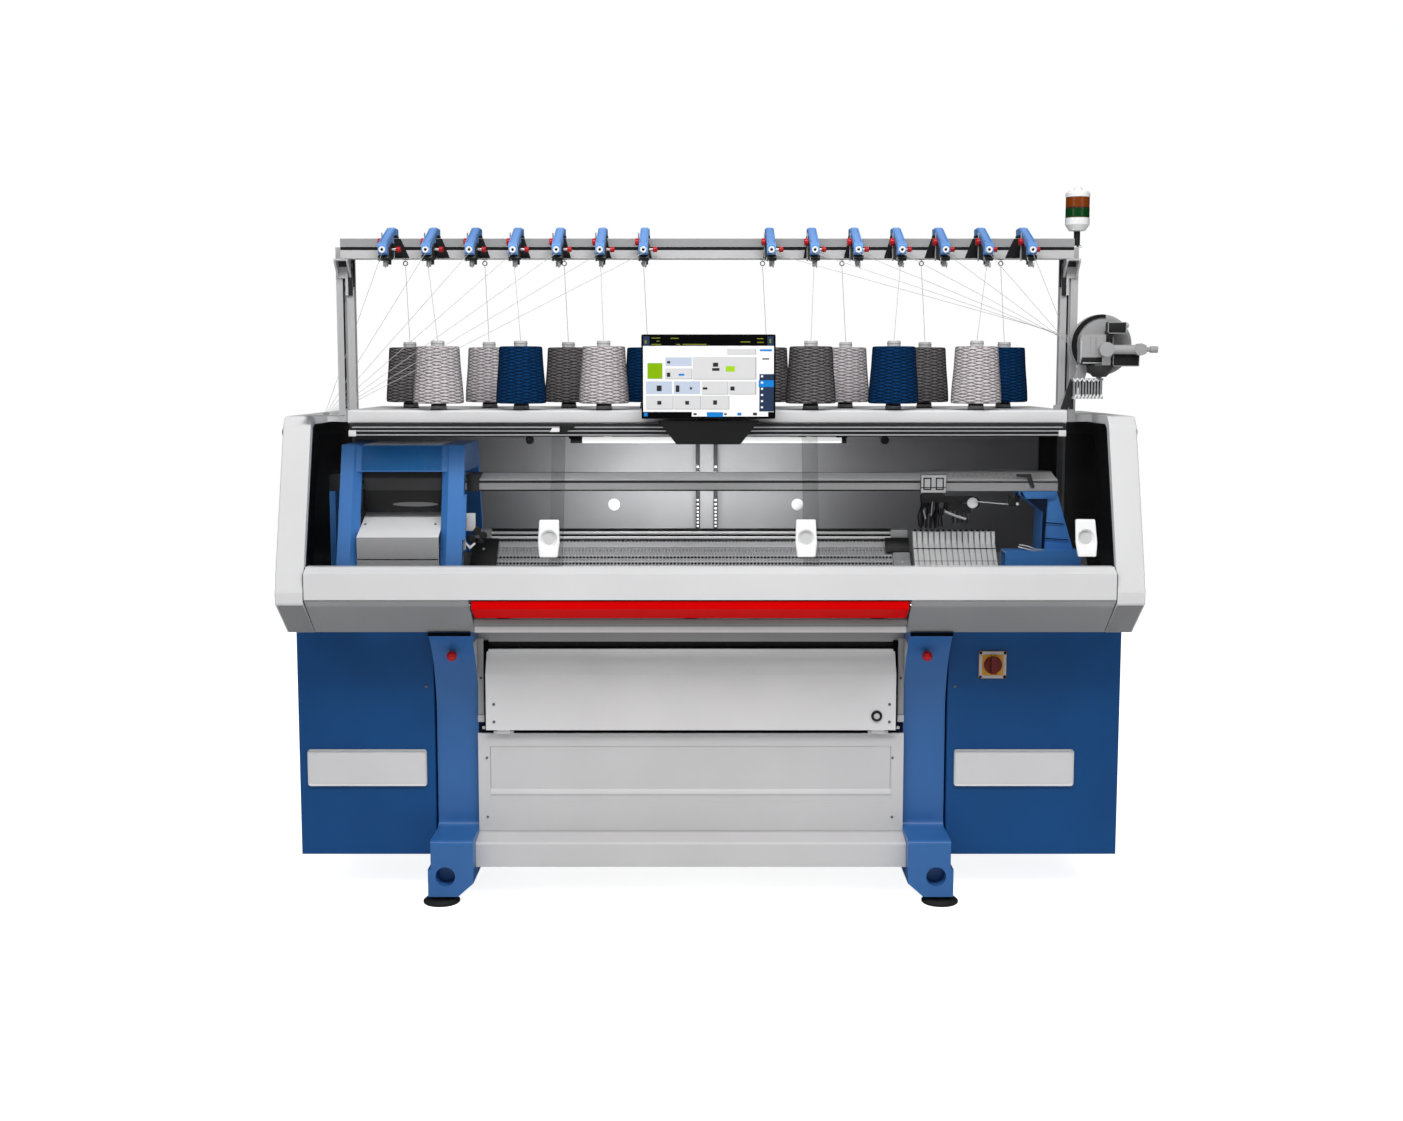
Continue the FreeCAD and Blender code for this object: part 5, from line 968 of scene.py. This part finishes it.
def clamp_details():
    """Line strips and knobs of the clamp unit, wires of the yarn carrier, and the thin rod to the bracket."""
    give("clamp_lines", [along_bed([(s, 17.6), (s, top), (s + wide, top), (s + wide, 17.6)], 700.5,
        957.5) for s, wide, top in ((42, 3.6, 18.7), (93, 1.6, 18.4))], seam_black)
    give("clamp_knob", repeated(block((704, 414, 1115.8), (711, 423, 1122), 1.0), 14, 18), soft_black)
    give("clamp_stub", repeated(block((714, 408, 1115.8), (718, 413, 1119), 0.6), 13, 18), bright_steel)
    wires = [wire([(x, 352, 1236), (x + 4 * s, 366, 1203), (x - 3 * s, 386, 1168), (x + 2, 396, 1134)],
        2.4) for x, s in zip(range(716, 800, 12), (1, -1) * 4)]
    wires += [block((x, 356, z), (x + 9, 372, z + 22), 1.5) for x, z in ((727, 1196), (741, 1178), (762, 1200),
        (779, 1172), (792, 1192), (812, 1200), (838, 1204))]
    give("carrier_wires", wires, soft_black, "yarn_carrier")
    give("carrier_bars", [wire([(790, 342, 1186), (822, 341, 1172), (856, 340, 1162)], 4.0),
        wire([(724, 346, 1190), (731, 346, 1162)], 2.0), wire([(752, 346, 1216), (748, 346, 1172)], 1.8)],
        carrier_grey, "yarn_carrier")
    give("beam_rod", wire([(884, 336, 1217), (994, 336, 1207)], 1.8), bright_steel)
    bracket = [(986, 1203), (1016, 1203), (1022, 1245), (1010, 1245), (1004, 1226), (986, 1238)]
    give("rod_bracket", front_cut(bracket, 326, 339.5, 0.8), soft_black)
    give("rod_screw", turned([(0, 3), (4, 3), (5, 0), (0, 0)], at(1012, 326, 1210), -Y, 16), abs_white)
    give("wall_end", block((1164, 770, 838), (1224, 776.2, 1462), 0), beam_black)


def feed_details():
    """Guard, covers, bowl and combs of the feed unit at the right end of the table."""
    x, z = 1250.0, 1699.0       # the disc's axis

    def arc(r, shift, degrees):
        return [(x + shift + r * math.cos(k * math.pi / 180), z + r * math.sin(k
            * math.pi / 180)) for k in degrees]

    def box(low, high, ease):
        """A block between two corners whose x and z are taken from the disc's axis."""
        return block((x + low[0], low[1], z + low[2]), (x + high[0], high[1], z + high[2]), ease)

    guard = arc(91.6, 0, range(84, 262, 7)) + arc(82, 6, range(262, 84, -7))
    give("disc_guard", front_cut(guard, 279.5, 282.4, 0), beam_black)
    give("feed_covers", [box((23.6, 232.4, -65.4), (104.4, 275.4, -24.6), 3), box((5.6, 230.4, 32.6),
        (62.4, 263.4, 67.4), 3), box((3.6, 234.4, 1), (22.4, 263.4, 41), 1), box((-71, 240.2, -60.4),
        (23, 250, -38), 1)], soft_black)
    give("feed_trims", [box((-72, 239.8, -44), (-68.5, 242, 12), 0.5), box((-66, 239.8, -56.5), (4, 242, -53.5),
        0.5), turned([(0, 0), (8, 0), (8, 7), (6, 9), (0, 9)], at(x + 62.4, 246, z + 58), X, 20),
        box((-8, 231, -64), (17, 240, -16), 1)], carrier_grey)
    give("housing_lines", [box((a, 239.9, -30), (a + 2, 241, 24), 0) for a in (-44, -30, -26)], post_grey)
    web = [(1127, 1503.6), (1155, 1597), (1168, 1578), (1168, 1556), (1150, 1503.6)]
    give("feed_dark", [turned([(0, -37), (20, -36), (33, -22), (40, -4), (40, -1), (0, -1)],
        at(x - 10, 257, z - 61), Z, 40), box((-66, 259, -155), (0, 262, -109), 0.4),
        front_cut(web, 270, 272.7, 0.4), block((1153, 269, 1503.6), (1166, 272, 1540), 0.5)], charcoal)
    zigzag = [(x - 92 + 7 * k, z - 99 - 9 * (k % 2)) for k in range(12)]
    zigzag += [(a, b - 5) for a, b in reversed(zigzag)]
    teeth = [front_cut([(x + a + 11 * k, z + b) for a, b in ((-88, -163), (-83, -163), (-78, -150),
        (-83, -150))], 246, 250, 0.3) for k in range(8)]
    give("feed_teeth", [front_cut(zigzag, 246, 250, 0)] + teeth, abs_white)


for details in (plates, hood_details, lower_details, bed_rails, carriage_details, beam_details, clamp_details,
        feed_details):
    details()


# ---- stage, light and camera ----
def stage():
    """Pale floor that glows white to the camera alone, and keeps the machine's shadow."""
    pick()
    bpy.ops.mesh.primitive_plane_add(size=16, location=(0, 0, 0))
    floor = settle()
    floor.name = "floor"
    material, tree, place = begun("white_paper_floor")
    paper = ramp(tree, noise(tree, place, 2.0), [(0.3, "#F4F4F4"), (0.7, "#F8F8F8")])
    lift = node(tree, "Math", {0: node(tree, "LightPath").outputs["Is Camera Ray"], 1: 0.97},
        operation="MULTIPLY")
    floor.data.materials.append(surfaced(material, {"Base Color": paper, "Emission Color": paper,
        "Emission Strength": lift, "Roughness": 0.9}))


def world():
    """White behind everything, and as light a studio that is bright overhead and dim around."""
    sky = bpy.data.worlds.new("studio")
    bpy.context.scene.world = sky
    sky.use_nodes = True
    tree = sky.node_tree
    tree.nodes.clear()
    way = node(tree, "SeparateXYZ", {"Vector": node(tree, "TexCoord").outputs["Generated"]})
    level = ramp(tree, way.outputs["Z"], [(0.1, "#303030"), (0.7, "#C8C8C8")])
    fill = node(tree, "Background", {"Color": level, "Strength": 0.8})
    seen = node(tree, "Background", {"Color": linear("#FFFFFF"), "Strength": 1.0})
    mix = node(tree, "MixShader", {0: node(tree, "LightPath").outputs["Is Camera Ray"], 1: fill, 2: seen})
    node(tree, "OutputWorld", {"Surface": mix})


def lamp(name, place, aim, size, watts):
    data = bpy.data.lights.new(name, "AREA")
    data.shape = "RECTANGLE"
    data.size, data.size_y = size
    data.energy = watts
    obj = placed(name, data)
    obj.location = place
    obj.rotation_euler = (Vector(aim) - Vector(place)).to_track_quat("-Z", "Y").to_euler()


EYE_X, EYE_BACK, EYE_UP = 33.0, -4900.0, 1620.0      # camera from the beds' middle, from the nose and the floor
PITCH_DOWN = 6.4                                     # degrees
FOCAL_PX, FRAME_W, SENSOR = 1690.0, 1403, 36.0       # focal length and frame in pixels, sensor in millimetres


def camera():
    data = bpy.data.cameras.new("camera")
    data.sensor_width = SENSOR
    data.lens = FOCAL_PX / FRAME_W * SENSOR
    obj = placed("camera", data)
    obj.location = at(EYE_X, EYE_BACK, EYE_UP)
    obj.rotation_euler = (math.radians(90 - PITCH_DOWN), 0, 0)
    bpy.context.scene.camera = obj


stage()
world()
lamp("key", (0, -2.8, 4.3), (0, -0.1, 1.0), (3.4, 1.3), 134)
for side in (-1, 1):
    lamp(f"side_{side}", (3.2 * side, -3.4, 3.3), (0, 0, 0.9), (1.2, 1.2), 18)
lamp("low", (0, -3.6, 0.55), (0, 0, 0.75), (2.6, 0.5), 6.5)
lamp("bay", at(30, 140, 1250), at(30, 523, 1120), (2.3, 0.34), 1.7)
lamp("inside", at(-10, 500, 1285), at(-10, 797, 1180), (0.7, 0.05), 3.6)     # the machine's own lamp
camera()
bpy.context.scene.view_settings.view_transform = "Standard"
